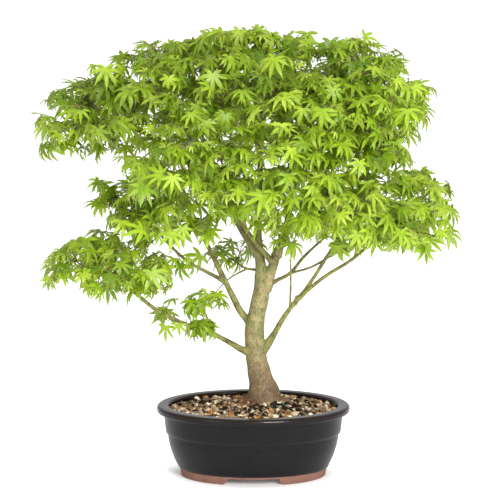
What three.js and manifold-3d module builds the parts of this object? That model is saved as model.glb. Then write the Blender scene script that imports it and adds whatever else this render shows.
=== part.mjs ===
// A broadleaf maple bonsai in an oval, footed, glazed pot.
// Millimetres, +Z up. The origin is the centre of the whole plant's footprint, on the surface that the pot
// stands on: the pot's length runs along X and its width along Y.
//
// The pot has a rolled lip, a stepped belly, two drain holes and a foot ring that is cut through at the front
// and back. A plastic screen held by a wire clip covers each drain hole. The soil fills the pot, a layer of grit
// covers it, and the tree's root crown is buried in both. The trunk and its boughs are one solid, and each spray
// of foliage is a closed cloud of leaves seated on the boughs that run into it.

import * as THREE from "three";
import { mergeVertices } from "three/addons/utils/BufferGeometryUtils.js";
import Module from "manifold-3d";

const wasm = await Module();
wasm.setup();

// ---- Driving dimensions ----

const POT_LENGTH = 254;
const POT_WIDTH = 202;
const POT_HEIGHT = 94;
const POT_WALL = 7;
const POT_FLOOR = 8;
const LIP_OVERHANG = 9;
const LIP_HEIGHT = 10;
const LIP_ROUND = 3.5;
const BAND_HEIGHT = 27; // the plain band between the lip and the step
const BAND_TAPER = 3;
const STEP_DEPTH = 2.6;
const BELLY_TAPER = 14; // how far the belly draws in between the step and the foot
const BELLY_CURVE = 1.35; // above 1, the belly stays full near the step and turns in towards the foot
const FOOT_HEIGHT = 11;
const FOOT_SETBACK = 1.4; // the bare foot stands this far inside the glazed belly
const FOOT_TAPER = 2;
const FOOT_RING_WIDTH = 11;
const FOOT_CUT_LENGTH = 84; // the opening under the front and back, at the surface
const FOOT_CUT_CURL = 8; // how much shorter that opening is at its top
const FOOT_CUT_HEIGHT = 9;

const DRAIN_RADIUS = 9;
const DRAIN_SPACING = 96;
const SCREEN_SIZE = 32;
const SCREEN_THICKNESS = 1.4;
const SCREEN_CELLS = 4; // openings along each side
const SCREEN_BAR = 2;
const CLIP_WIRE = 1.5;
const CLIP_SPAN = 11; // between the two legs that go down the drain hole
const CLIP_LEG_LENGTH = 9; // of each leg's outward bend under the floor

const GRIT_DEPTH = 8;
const GRIT_BELOW_LIP = 6; // how far the grit lies below the top of the lip at the pot's wall
const GRIT_BUMP = 1.3;
const MOUND_HEIGHT = 8; // how far the ground rises towards the trunk
const MOUND_RADIUS = 80;

const TREE_HEIGHT = 500; // from the ground at the trunk to the top of the crown
const CROWN_WIDTH = 556;
const CROWN_DEPTH = 400;
const TRUNK_GIRTH = 30.6; // trunk diameter just above the root flare
const TRUNK_BACK = 25; // the trunk stands this far behind the pot's middle

const CLEARANCE = 0.3; // between pieces that touch
const POT_SIDES = 44;
const CROWN_DETAIL = 3; // subdivisions of each foliage cloud

// The roots, boughs and foliage below are drawn for a tree and pot of this size, and placed at the size above.
const DRAWN = { height: 500, width: 556, depth: 400, girth: 30.6, potLength: 254, potWidth: 202 };

// ---- Solids and meshes ----

function solidOf(geometry) {
  const bare = geometry.clone();
  bare.deleteAttribute("normal");
  bare.deleteAttribute("uv");
  const merged = mergeVertices(bare, 1e-3);
  return new wasm.Manifold(
    new wasm.Mesh({
      numProp: 3,
      vertProperties: new Float32Array(merged.attributes.position.array),
      triVerts: new Uint32Array(merged.index.array),
    }),
  );
}

function geometryOf(solid) {
  const mesh = solid.getMesh();
  const geometry = new THREE.BufferGeometry();
  geometry.setAttribute("position", new THREE.BufferAttribute(mesh.vertProperties, 3));
  geometry.setIndex(new THREE.BufferAttribute(mesh.triVerts, 1));
  geometry.computeVertexNormals();
  return geometry;
}

function joined(solids) {
  return solids.reduce((whole, next) => whole.add(next));
}

function without(solid, cutters) {
  return cutters.reduce((rest, cutter) => rest.subtract(cutter), solid);
}

// The largest single body of a solid: cuts between neighbouring clouds can leave crumbs beside it.
function largestBody(solid) {
  const bodies = solid.decompose();
  return bodies.reduce((best, body) => (body.volume() > best.volume() ? body : best));
}

function box(sizeX, sizeY, sizeZ, x, y, z) {
  return solidOf(new THREE.BoxGeometry(sizeX, sizeY, sizeZ).translate(x, y, z));
}

// ---- Oval shapes: a profile of [half length, height] points, drawn from the axis at the bottom to the axis at
// the top. The half width is always the same amount shorter, as on an oval pot with even walls. ----

const OVAL_DIFFERENCE = (POT_LENGTH - POT_WIDTH) / 2;

function ovalSolid(profile, sides = POT_SIDES) {
  const points = profile.map(([r, z]) => new THREE.Vector2(r, z));
  const geometry = new THREE.LatheGeometry(points, sides).rotateX(Math.PI / 2);
  const position = geometry.attributes.position;
  for (let i = 0; i < position.count; i++) {
    const r = Math.hypot(position.getX(i), position.getY(i));
    const share = r > OVAL_DIFFERENCE ? (r - OVAL_DIFFERENCE) / r : 0;
    position.setY(i, position.getY(i) * share);
  }
  return solidOf(geometry);
}

// ---- Pot ----

const RIM = POT_LENGTH / 2;
const BAND_TOP = POT_HEIGHT - LIP_HEIGHT;
const STEP_LEVEL = BAND_TOP - BAND_HEIGHT;
const FLOOR_LEVEL = FOOT_HEIGHT - 1 + POT_FLOOR;
const BAND_TOP_R = RIM - LIP_OVERHANG;
const STEP_R = BAND_TOP_R - BAND_TAPER;
const BELLY_TOP_R = STEP_R - STEP_DEPTH;
const BELLY_FOOT_R = BELLY_TOP_R - BELLY_TAPER;
const DRAIN_REACH = ((DRAIN_SPACING / 2) * POT_LENGTH) / DRAWN.potLength; // the drains spread with the pot

// The belly's half length at a height, drawn in towards the foot on a rounded curve.
function bellyAt(z) {
  const down = (STEP_LEVEL - z) / (STEP_LEVEL - FOOT_HEIGHT);
  return BELLY_TOP_R - BELLY_TAPER * Math.pow(Math.min(Math.max(down, 0), 1), BELLY_CURVE);
}

// The pot's outside half length at a height, from the step up to the lip.
function bandAt(z) {
  const up = (z - STEP_LEVEL) / BAND_HEIGHT;
  return STEP_R + BAND_TAPER * Math.min(Math.max(up, 0), 1);
}

function innerWallAt(z) {
  return (z < STEP_LEVEL ? bellyAt(z) : bandAt(z)) - POT_WALL;
}

function outsideProfile() {
  const footTop = BELLY_FOOT_R - FOOT_SETBACK;
  const profile = [
    [0, 0],
    [footTop - FOOT_TAPER, 0],
    [footTop, FOOT_HEIGHT],
    [BELLY_FOOT_R, FOOT_HEIGHT + 1],
  ];
  const bellySteps = 5;
  for (let i = 1; i <= bellySteps; i++) {
    const z = FOOT_HEIGHT + 1 + ((STEP_LEVEL - FOOT_HEIGHT - 1) * i) / bellySteps;
    profile.push([bellyAt(z), z]);
  }
  profile.push([STEP_R, STEP_LEVEL + 1.6], [bandAt(STEP_LEVEL + BAND_HEIGHT / 2), STEP_LEVEL + BAND_HEIGHT / 2]);
  profile.push([BAND_TOP_R, BAND_TOP], ...lipEdge(), [0, POT_HEIGHT]);
  return profile;
}

// The lip's rounded edge, from its underside out and up to its top.
function lipEdge() {
  const edge = [];
  const steps = 3;
  for (const [level, from] of [[BAND_TOP + LIP_ROUND, -Math.PI / 2], [POT_HEIGHT - LIP_ROUND, 0]])
    for (let i = 0; i <= steps; i++) {
      const turn = from + (Math.PI / 2) * (i / steps);
      edge.push([RIM - LIP_ROUND * (1 - Math.cos(turn)), level + LIP_ROUND * Math.sin(turn)]);
    }
  return edge;
}

// The inside of the pot from its floor up, with each side taken in by a clearance.
function insideProfile(top, clearance) {
  const floorRound = 10;
  const profile = [
    [0, FLOOR_LEVEL + clearance],
    [innerWallAt(FLOOR_LEVEL) - floorRound - clearance, FLOOR_LEVEL + clearance],
    [innerWallAt(FLOOR_LEVEL + floorRound) - clearance, FLOOR_LEVEL + floorRound],
  ];
  const wallSteps = 3;
  for (let i = 1; i <= wallSteps; i++) {
    const z = FLOOR_LEVEL + floorRound + ((top - FLOOR_LEVEL - floorRound) * i) / wallSteps;
    profile.push([innerWallAt(z) - clearance, z]);
  }
  profile.push([0, top]);
  return profile;
}

// The opening between the two feet: a prism along Y whose ends curl in towards its top.
function footCut() {
  const half = FOOT_CUT_LENGTH / 2;
  const outline = new THREE.Shape();
  outline.moveTo(-half, -1);
  outline.lineTo(half, -1);
  outline.lineTo(half, 0);
  outline.quadraticCurveTo(half - FOOT_CUT_CURL, 0.25 * FOOT_CUT_HEIGHT, half - FOOT_CUT_CURL, FOOT_CUT_HEIGHT);
  outline.lineTo(FOOT_CUT_CURL - half, FOOT_CUT_HEIGHT);
  outline.quadraticCurveTo(FOOT_CUT_CURL - half, 0.25 * FOOT_CUT_HEIGHT, -half, 0);
  outline.closePath();
  const options = { depth: POT_WIDTH, bevelEnabled: false, curveSegments: 4 };
  const prism = new THREE.ExtrudeGeometry(outline, options);
  return solidOf(prism.rotateX(Math.PI / 2).translate(0, POT_WIDTH / 2, 0));
}

function footRecess() {
  const inner = BELLY_FOOT_R - FOOT_SETBACK - FOOT_TAPER - FOOT_RING_WIDTH;
  const top = FOOT_HEIGHT - 1;
  return ovalSolid([[0, -1], [inner, -1], [inner, top - 3], [inner - 3, top], [0, top]]);
}

function drainHole(x) {
  const hole = new THREE.CylinderGeometry(DRAIN_RADIUS, DRAIN_RADIUS, FLOOR_LEVEL * 2, 20);
  return solidOf(hole.rotateX(Math.PI / 2).translate(x, 0, FLOOR_LEVEL));
}

function pot() {
  const rimRound = 2.5;
  const inside = insideProfile(POT_HEIGHT - rimRound, 0);
  const mouth = innerWallAt(POT_HEIGHT) + rimRound;
  inside.splice(-1, 1, [mouth, POT_HEIGHT], [mouth, POT_HEIGHT + 1], [0, POT_HEIGHT + 1]);
  return without(ovalSolid(outsideProfile()), [
    ovalSolid(inside),
    footRecess(),
    footCut(),
    drainHole(-DRAIN_REACH),
    drainHole(DRAIN_REACH),
  ]);
}

// ---- Drain screens and the wire clips that hold them ----

const SCREEN_LEVEL = FLOOR_LEVEL + CLEARANCE;
const SCREEN_PITCH = (SCREEN_SIZE - SCREEN_BAR) / SCREEN_CELLS;

function drainScreen(x) {
  const middle = SCREEN_LEVEL + SCREEN_THICKNESS / 2;
  let screen = box(SCREEN_SIZE, SCREEN_SIZE, SCREEN_THICKNESS, x, 0, middle);
  const cell = SCREEN_PITCH - SCREEN_BAR;
  for (let i = 0; i < SCREEN_CELLS; i++)
    for (let j = 0; j < SCREEN_CELLS; j++) {
      const cellX = x + (i - (SCREEN_CELLS - 1) / 2) * SCREEN_PITCH;
      const cellY = (j - (SCREEN_CELLS - 1) / 2) * SCREEN_PITCH;
      screen = screen.subtract(box(cell, cell, SCREEN_THICKNESS * 3, cellX, cellY, middle));
    }
  return screen;
}

// One wire: over the screen, down through two of its openings and the drain hole, and bent out under the floor.
function screenClip(x) {
  const over = SCREEN_LEVEL + SCREEN_THICKNESS + CLEARANCE + CLIP_WIRE / 2;
  const under = FOOT_HEIGHT - 1 - CLEARANCE - CLIP_WIRE / 2;
  const half = CLIP_SPAN / 2;
  const bend = CLIP_WIRE;
  const y = SCREEN_PITCH / 2;
  const corners = [
    [-half - CLIP_LEG_LENGTH, under],
    [-half - bend, under],
    [-half, under + bend],
    [-half, over - bend],
    [-half + bend, over],
    [half - bend, over],
    [half, over - bend],
    [half, under + bend],
    [half + bend, under],
    [half + CLIP_LEG_LENGTH, under],
  ];
  const path = new THREE.CurvePath();
  for (let i = 1; i < corners.length; i++) {
    const [fromX, fromZ] = corners[i - 1];
    const [toX, toZ] = corners[i];
    path.add(new THREE.LineCurve3(new THREE.Vector3(fromX, 0, fromZ), new THREE.Vector3(toX, 0, toZ)));
  }
  const section = new THREE.Shape().absarc(0, 0, CLIP_WIRE / 2, 0, Math.PI * 2);
  const options = { extrudePath: path, steps: 34, curveSegments: 3 };
  return solidOf(new THREE.ExtrudeGeometry(section, options).translate(x, y, 0));
}

// ---- Limbs: closed, tapering tubes through [x, y, z, radius] points ----

// Where the ground meets the trunk, and so where the tree's own drawing begins.
const GROUND = POT_HEIGHT - GRIT_BELOW_LIP + MOUND_HEIGHT;

function placed([x, y, z]) {
  return new THREE.Vector3(
    (x * CROWN_WIDTH) / DRAWN.width,
    TRUNK_BACK + (y * CROWN_DEPTH) / DRAWN.depth,
    GROUND + (z > 0 ? (z * TREE_HEIGHT) / DRAWN.height : z),
  );
}

// Roots spread with the pot that holds them.
function placedRoot([x, y, z]) {
  return new THREE.Vector3(
    (x * POT_LENGTH) / DRAWN.potLength,
    TRUNK_BACK + (y * POT_WIDTH) / DRAWN.potWidth,
    GROUND + z,
  );
}

function limb(points, { place = placed, sides = 6, stepsPerSpan = 1, extra = 0 } = {}) {
  const curve = new THREE.CatmullRomCurve3(points.map(place), false, "centripetal");
  const steps = (points.length - 1) * stepsPerSpan;
  const frames = curve.computeFrenetFrames(steps, false);
  const corners = [];
  for (let i = 0; i <= steps; i++) {
    const t = curve.getUtoTmapping(i / steps) * (points.length - 1);
    const span = Math.min(Math.floor(t), points.length - 2);
    const drawn = THREE.MathUtils.lerp(points[span][3], points[span + 1][3], t - span);
    const radius = (drawn * TRUNK_GIRTH) / DRAWN.girth + extra;
    const centre = curve.getPointAt(i / steps);
    if (i === 0) centre.addScaledVector(frames.tangents[0], -extra);
    if (i === steps) centre.addScaledVector(frames.tangents[steps], extra);
    for (let k = 0; k < sides; k++) {
      const turn = (k / sides) * Math.PI * 2;
      const corner = centre.clone();
      corner.addScaledVector(frames.normals[i], radius * Math.cos(turn));
      corner.addScaledVector(frames.binormals[i], radius * Math.sin(turn));
      corners.push(corner);
    }
    if (i === 0 || i === steps) corners.push(centre);
  }
  return solidOf(tubeGeometry(corners, sides, steps));
}

// corners holds a ring, its centre, the rings between, the last ring and its centre.
function tubeGeometry(corners, sides, steps) {
  const ringStart = (i) => (i === 0 ? 0 : i * sides + 1);
  const index = [];
  for (let k = 0; k < sides; k++) {
    const next = (k + 1) % sides;
    index.push(sides, next, k);
    index.push(corners.length - 1, ringStart(steps) + k, ringStart(steps) + next);
    for (let i = 0; i < steps; i++) {
      const [a, b] = [ringStart(i), ringStart(i + 1)];
      index.push(a + k, a + next, b + next, a + k, b + next, b + k);
    }
  }
  const geometry = new THREE.BufferGeometry().setFromPoints(corners);
  geometry.setIndex(index);
  return geometry;
}

// ---- Trunk and boughs: points from the trunk outwards, [x, y, height above the ground, radius] ----

const TRUNK = [
  [14, 0, -34, 15], [14, 0, -20, 20], [14, 0, -6, 24], [13.6, 0, 9, 22.4], [11, 0, 22, 17.6],
  [7, 0, 39, 15], [4, 0, 55, 14], [2, 0, 74, 13.4], [1.5, 0, 94, 12.8], [4, -1, 110, 12.2],
  [7.5, -2, 128, 11.6], [10.5, -2, 145, 11.6], [13, -2, 160, 11],
];

const ROOTS = [
  [[14, 0, -8, 13], [40, -8, -6, 10], [58, -16, -20, 6], [72, -24, -38, 3]],
  [[14, 0, -8, 12], [-8, -8, -8, 8], [-28, -14, -12, 5.5], [-52, -22, -32, 3]],
  [[14, 0, -10, 12], [8, 14, -10, 8], [-2, 26, -22, 5], [-18, 32, -40, 3]],
  [[14, 0, -10, 12], [28, 12, -10, 8], [42, 22, -22, 5], [58, 28, -40, 3]],
  [[14, 0, -10, 12], [16, -20, -12, 8], [12, -40, -24, 5], [4, -56, -42, 3]],
];

const BOUGHS = [
  // The fork's two stems.
  [[12, -2, 148, 9.6], [9.5, -1, 182, 8.2], [6, 0, 202, 7.2]],
  [[13.5, -2, 148, 9.6], [25, -4, 177, 7.6], [32, -6, 199, 6.6]],
  // Left leader, and its fork to the top.
  [[6, 0, 194, 6.8], [-8, 2, 214, 5.8], [-22.5, 6, 239, 5.3], [-39, 10, 266, 4.8], [-66, 12, 306, 4],
   [-106, 8, 336, 3.1], [-160, 0, 360, 2.6], [-206, -6, 374, 2.1]],
  [[-66, 12, 306, 3.6], [-84, 14, 346, 2.9], [-96, 12, 384, 2.5], [-102, 10, 424, 2]],
  // Centre leader, with forks to the back, the front and the right.
  [[6.5, 0, 194, 6.6], [6, 2, 240, 5.6], [9, 6, 298, 4.8], [8, 8, 360, 3.8], [4, 8, 408, 2.9],
   [-6, 6, 436, 2.3]],
  [[9, 6, 296, 3.6], [8, 52, 322, 3], [4, 106, 348, 2.4]],
  [[8, 7, 326, 3.2], [2, -32, 352, 2.7], [4, -80, 382, 2.1]],
  [[8, 8, 352, 3], [20, -8, 388, 2.4], [36, -20, 424, 2]],
  // Right leader, with forks to the right, the front and the back.
  [[30, -5, 192, 6.2], [36.5, -8, 210, 5.6], [44.5, -8, 238, 5.2], [49, -6, 270, 4.8], [60, -2, 302, 4.4],
   [83, 0, 332, 3.8], [105, 2, 368, 3.1], [130, 4, 414, 2.3]],
  [[60, -2, 302, 3.4], [90, -20, 326, 2.9], [122, -34, 344, 2.5], [154, -42, 356, 2.1]],
  [[50, -6, 276, 3.2], [66, -42, 316, 2.6], [92, -80, 346, 2.1]],
  [[80, 0, 329, 3], [98, 46, 338, 2.6], [114, 90, 346, 2.2]],
  // Front bough, crossing before the left stem, and its fork to the left.
  [[26, -9, 184, 4.6], [13, -18, 200, 4.2], [2, -27, 215, 3.9], [-11, -38, 236, 3.5], [-8, -74, 268, 2.8],
   [4, -110, 294, 2.3]],
  [[-11, -38, 236, 3], [-44, -68, 276, 2.6], [-82, -98, 314, 2.1]],
  // Lower left bough, and the shoot on it.
  [[2, -1, 60, 6.5], [-14, -4, 66.5, 5], [-34, -9, 79, 4.2], [-62, -16, 94.5, 3.7], [-92, -24, 106, 3.3],
   [-128, -32, 126, 3.3], [-156, -38, 150, 2.8], [-190, -44, 174, 2.2], [-222, -48, 186, 1.8]],
  [[-54, -15, 91, 2], [-60, -21, 111, 1.7], [-67, -26, 130, 1.4]],
  // Middle left bough, with forks to the left and the back.
  [[2, 0, 95, 6], [-17, 4, 117, 5.2], [-26, 6, 134, 4.8], [-41, 9, 164, 4.4], [-61, 12, 205, 3.8],
   [-82, 10, 246, 3.2], [-100, 4, 284, 2.6]],
  [[-40, 9, 157, 3.2], [-63, 0, 171, 2.9], [-84, -8, 184, 2.6], [-111, -20, 211, 2.3], [-138, -32, 246, 1.9]],
  [[-61, 12, 205, 2.8], [-80, 50, 240, 2.5], [-98, 86, 280, 2.1]],
  // Thin branch behind the left stem, and its fork down to the inner leaves.
  [[10, 2, 172, 2.6], [-10, 18, 172, 1.9], [-24, 34, 178, 1.6], [-38, 44, 186, 1.4]],
  [[-8, 16, 172, 1.7], [-31, 16, 159, 1.4], [-46, 6, 146, 1.3], [-60, -8, 128, 1.2]],
  // Lower right bough, with its upright fork and its thin upright shoot.
  [[5, -1, 58, 7.5], [19, -5, 75, 6.6], [28.6, -10, 91, 5], [37, -13, 107, 4.2], [48.5, -17, 124.5, 3.8],
   [65, -21, 143.5, 3.4], [95, -26, 169.5, 3], [123, -29, 187.5, 2.7], [143.6, -31, 204, 2.5],
   [172, -34, 230, 2.1]],
  [[60, -19, 138, 3.2], [76, -18, 161, 3.1], [93, -16, 188, 2.9], [107, -14, 212, 2.8], [112, -12, 250, 2.5],
   [120, -18, 300, 2.2], [140, -30, 340, 1.9]],
  [[48, -16, 123, 2], [49, -19, 160, 1.7], [49.5, -26, 200, 1.5], [58, -52, 232, 1.4], [80, -86, 262, 1.3]],
  // Upper right bough, with its fork to the front.
  [[12, -2, 146, 5], [27, 3, 156, 3.6], [48.5, 14, 166, 2.9], [66, 26, 185, 2.4], [97, 48, 210, 2.1],
   [122, 66, 227, 1.8]],
  [[48, 14, 166, 2.2], [75, 6, 175, 2], [97, -4, 189, 1.8], [121, -14, 206, 1.6], [140, -22, 226, 1.5]],
];

function woodLimbs(extra) {
  return [
    limb(TRUNK, { sides: 14, stepsPerSpan: 2, extra }),
    ...ROOTS.map((points) => limb(points, { place: placedRoot, extra })),
    ...BOUGHS.map((points) => limb(points, { extra })),
  ];
}

// ---- Ground: soil up to the grit, and the grit on top of it ----

function groundHeight(x, y) {
  const trunkFoot = placed(TRUNK[2]);
  const away = Math.min(Math.hypot(x - trunkFoot.x, y - trunkFoot.y) / MOUND_RADIUS, 1);
  return POT_HEIGHT - GRIT_BELOW_LIP + MOUND_HEIGHT * (0.5 + 0.5 * Math.cos(Math.PI * away));
}

// A fixed pattern of bumps and dips, from 0 to 1.
function unevenness(x, y) {
  const wave = Math.sin(x * 0.61 + y * 0.23) + Math.sin(y * 0.73 - x * 0.31) + Math.sin(x * 0.19 + y * 0.97);
  return 0.5 + wave / 6;
}

// A closed lid over the pot's inside, from the level bottom up to the ground surface less a drop.
function groundSolid(bottomAt, drop, bump) {
  const rings = 7;
  const wall = innerWallAt(POT_HEIGHT - GRIT_BELOW_LIP) + POT_WALL;
  const profile = [[0, bottomAt], [wall, bottomAt]];
  for (let i = rings; i >= 0; i--) profile.push([(wall * i) / rings, POT_HEIGHT]);
  const points = profile.map(([r, z]) => new THREE.Vector2(r, z));
  const geometry = new THREE.LatheGeometry(points, 40).rotateX(Math.PI / 2);
  const position = geometry.attributes.position;
  for (let i = 0; i < position.count; i++) {
    if (position.getZ(i) < POT_HEIGHT) continue;
    const [x, y] = [position.getX(i), position.getY(i)];
    position.setZ(i, groundHeight(x, y) - drop + bump * (unevenness(x, y) - 1));
  }
  return solidOf(geometry);
}

function ground(wood, fittings) {
  const inside = ovalSolid(insideProfile(POT_HEIGHT, CLEARANCE), 40);
  const soil = inside.intersect(groundSolid(0, GRIT_DEPTH + CLEARANCE, 0));
  const over = groundSolid(0, 0, GRIT_BUMP).intersect(inside);
  const grit = over.subtract(groundSolid(-1, GRIT_DEPTH, 0));
  return {
    soil: largestBody(without(soil, [...wood, ...fittings])),
    grit: largestBody(without(grit, wood)),
  };
}

// The room that each screen and its clip take up at the bottom of the soil.
function screenPocket(x) {
  const height = SCREEN_THICKNESS + CLIP_WIRE + 3 * CLEARANCE;
  const size = SCREEN_SIZE + 2 * CLEARANCE;
  return box(size, size, height * 2, x, 0, FLOOR_LEVEL);
}

// ---- Foliage: each cloud is a drooping dome, flatter below, with a lumpy skin ----
// [name, centre, half sizes, tilt to the right, tilt to the back (degrees)]

const FOLIAGE = [
  ["foliage_lower_left", [-192, -46, 184], [86, 76, 46], 6, 4],
  ["foliage_inner_left", [-84, -28, 114], [56, 36, 34], -8, 0],
  ["foliage_inner_back", [-36, 46, 184], [40, 30, 22], 0, 0],
  ["foliage_middle_left", [-138, -34, 252], [74, 74, 50], 8, 6],
  ["foliage_lower_right", [180, -34, 246], [86, 84, 62], -10, 4],
  ["foliage_lower_back_right", [128, 74, 232], [70, 66, 50], -8, -8],
  ["foliage_front_right", [92, -110, 272], [80, 66, 58], -6, 10],
  ["foliage_front", [6, -126, 304], [86, 62, 62], 0, 12],
  ["foliage_front_left", [-88, -112, 322], [78, 66, 62], 6, 10],
  ["foliage_upper_front_right", [100, -88, 354], [82, 60, 54], -8, 8],
  ["foliage_right", [154, -42, 356], [76, 88, 60], -12, 2],
  ["foliage_upper_left", [-196, -6, 374], [92, 96, 56], 10, 0],
  ["foliage_back_left", [-98, 92, 300], [74, 74, 64], 6, -10],
  ["foliage_back_right", [122, 98, 346], [86, 78, 64], -6, -10],
  ["foliage_back", [2, 112, 350], [98, 74, 68], 0, -12],
  ["foliage_upper_front", [4, -88, 386], [106, 66, 56], 0, 8],
  ["foliage_top", [-16, -2, 426], [114, 114, 54], 0, 0],
  ["foliage_top_left", [-104, 2, 418], [100, 108, 56], 8, 0],
  ["foliage_top_right", [134, -2, 410], [100, 108, 58], -8, 0],
];

const UNDERSIDE = 0.65; // a cloud's depth below its middle, as a share of its depth above
const EDGE_DROOP = 0.3;
const LUMP = 0.06;

// Drawn at the size of the drawing, then placed as the boughs are, so that it keeps its neighbours.
function cloud([, centre, half, tiltRight, tiltBack], extra = 0) {
  const spread = [CROWN_WIDTH / DRAWN.width, CROWN_DEPTH / DRAWN.depth, TREE_HEIGHT / DRAWN.height];
  const radii = half.map((size, axis) => size + extra / spread[axis]);
  const geometry = new THREE.IcosahedronGeometry(1, CROWN_DETAIL);
  const position = geometry.attributes.position;
  const phase = centre[0] * 0.1 + centre[2] * 0.07;
  for (let i = 0; i < position.count; i++) {
    const [x, y, z] = [position.getX(i), position.getY(i), position.getZ(i)];
    const lump = 1 + LUMP * Math.sin(7 * x + phase) * Math.cos(6 * y - phase) + LUMP * Math.sin(5 * z + 8 * y + phase);
    const tall = (z > 0 ? z : z * UNDERSIDE) - EDGE_DROOP * (x * x + y * y);
    position.setXYZ(i, x * radii[0] * lump, y * radii[1] * lump, tall * radii[2] * lump);
  }
  geometry.rotateY(THREE.MathUtils.degToRad(-tiltRight));
  geometry.rotateX(THREE.MathUtils.degToRad(tiltBack));
  geometry.translate(centre[0], centre[1], centre[2] + EDGE_DROOP * radii[2] * 0.5);
  for (let i = 0; i < position.count; i++) {
    const { x, y, z } = placed([position.getX(i), position.getY(i), position.getZ(i)]);
    position.setXYZ(i, x, y, z);
  }
  return solidOf(geometry);
}

// Each cloud gives way to the boughs and to the clouds listed before it.
function foliage(wood) {
  const taken = [];
  return FOLIAGE.map((spray) => {
    const solid = largestBody(without(cloud(spray), [...wood, ...taken]));
    taken.push(cloud(spray, CLEARANCE));
    return [spray[0], solid];
  });
}

// ---- Materials ----

function material(color, rough) {
  return new THREE.MeshStandardMaterial({ color, roughness: rough, metalness: 0 });
}

const GLAZE = material(0x2a2b30, 0.25);
const BLACK_PLASTIC = material(0x1c1c1c, 0.6);
const WIRE = new THREE.MeshStandardMaterial({ color: 0x8a6a4a, roughness: 0.4, metalness: 0.9 });
const EARTH = material(0x3a2a20, 0.95);
const GRIT = material(0xb89a78, 0.9);
const BARK = material(0x8f8763, 0.85);
const LEAF = material(0x86b833, 0.5);

// ---- Assembly ----

const assembly = new THREE.Group();

function put(name, solid, look) {
  const mesh = new THREE.Mesh(geometryOf(solid), look);
  mesh.name = name;
  assembly.add(mesh);
}

const wood = joined(woodLimbs(0));
const woodRoom = [joined(woodLimbs(CLEARANCE))];
const drains = { left: -DRAIN_REACH, right: DRAIN_REACH };
const { soil, grit } = ground(woodRoom, Object.values(drains).map(screenPocket));

put("pot", pot(), GLAZE);
for (const [side, x] of Object.entries(drains)) {
  put(`drain_screen_${side}`, drainScreen(x), BLACK_PLASTIC);
  put(`screen_clip_${side}`, screenClip(x), WIRE);
}
put("soil", soil, EARTH);
put("grit_layer", grit, GRIT);
put("trunk_and_boughs", wood, BARK);
for (const [name, solid] of foliage(woodRoom)) put(name, solid, LEAF);

// The footprint's centre, on the surface below the pot, becomes the origin.
const extent = new THREE.Box3().setFromObject(assembly);
const middle = extent.getCenter(new THREE.Vector3());
assembly.position.set(-middle.x, -middle.y, -extent.min.z);

export default new THREE.Group().add(assembly);
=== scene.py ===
# The looks of a maple bonsai in an oval glazed pot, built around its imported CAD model. Metres, +Z up.
import math
import random

import bmesh
import bpy
import numpy as np
from mathutils import Matrix, Vector, kdtree, noise
from mathutils.bvhtree import BVHTree


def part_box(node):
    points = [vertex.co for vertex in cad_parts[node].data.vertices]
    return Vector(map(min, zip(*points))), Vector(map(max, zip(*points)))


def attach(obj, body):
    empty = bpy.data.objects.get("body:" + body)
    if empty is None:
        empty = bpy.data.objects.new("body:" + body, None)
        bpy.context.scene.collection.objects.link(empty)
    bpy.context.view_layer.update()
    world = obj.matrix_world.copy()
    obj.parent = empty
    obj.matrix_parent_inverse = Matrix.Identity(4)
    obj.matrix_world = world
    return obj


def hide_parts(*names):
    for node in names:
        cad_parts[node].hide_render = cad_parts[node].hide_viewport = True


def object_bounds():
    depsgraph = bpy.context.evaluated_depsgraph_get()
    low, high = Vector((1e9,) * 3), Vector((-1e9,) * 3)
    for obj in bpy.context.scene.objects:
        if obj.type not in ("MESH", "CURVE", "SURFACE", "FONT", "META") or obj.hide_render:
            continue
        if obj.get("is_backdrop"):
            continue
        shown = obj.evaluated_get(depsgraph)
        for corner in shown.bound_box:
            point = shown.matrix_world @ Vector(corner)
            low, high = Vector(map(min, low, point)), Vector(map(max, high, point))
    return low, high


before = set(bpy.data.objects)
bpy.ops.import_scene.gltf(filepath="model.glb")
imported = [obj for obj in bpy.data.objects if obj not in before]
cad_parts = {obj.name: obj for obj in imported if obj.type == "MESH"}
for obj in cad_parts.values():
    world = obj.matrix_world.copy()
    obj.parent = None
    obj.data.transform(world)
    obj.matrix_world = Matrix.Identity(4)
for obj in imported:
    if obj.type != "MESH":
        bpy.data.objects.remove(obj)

MM = 0.001
CAD_BOX = np.array(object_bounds())
# How far the leaves may reach past the CAD model: a share of each side, and a length.
GROWTH_SHARE = 0.03
GROWTH_LENGTH = 7 * MM
GROWTH_ROOM = GROWTH_SHARE * (CAD_BOX[1] - CAD_BOX[0]) + GROWTH_LENGTH
GROWTH_LOW, GROWTH_HIGH = CAD_BOX[0] - GROWTH_ROOM, CAD_BOX[1] + GROWTH_ROOM
UP = Vector((0, 0, 1))
random.seed(11)

# ---- Places, from the frame ----

POT_LOW, POT_HIGH = (Vector(corner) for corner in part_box("pot"))
POT_MIDDLE = (POT_LOW + POT_HIGH) / 2
RIM = (POT_HIGH.x - POT_LOW.x) / 2
RIM_LEVEL = POT_HIGH.z
OVAL_DIFFERENCE = RIM - (POT_HIGH.y - POT_LOW.y) / 2

# ---- Driving sizes of the pot, as in the CAD model ----

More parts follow.
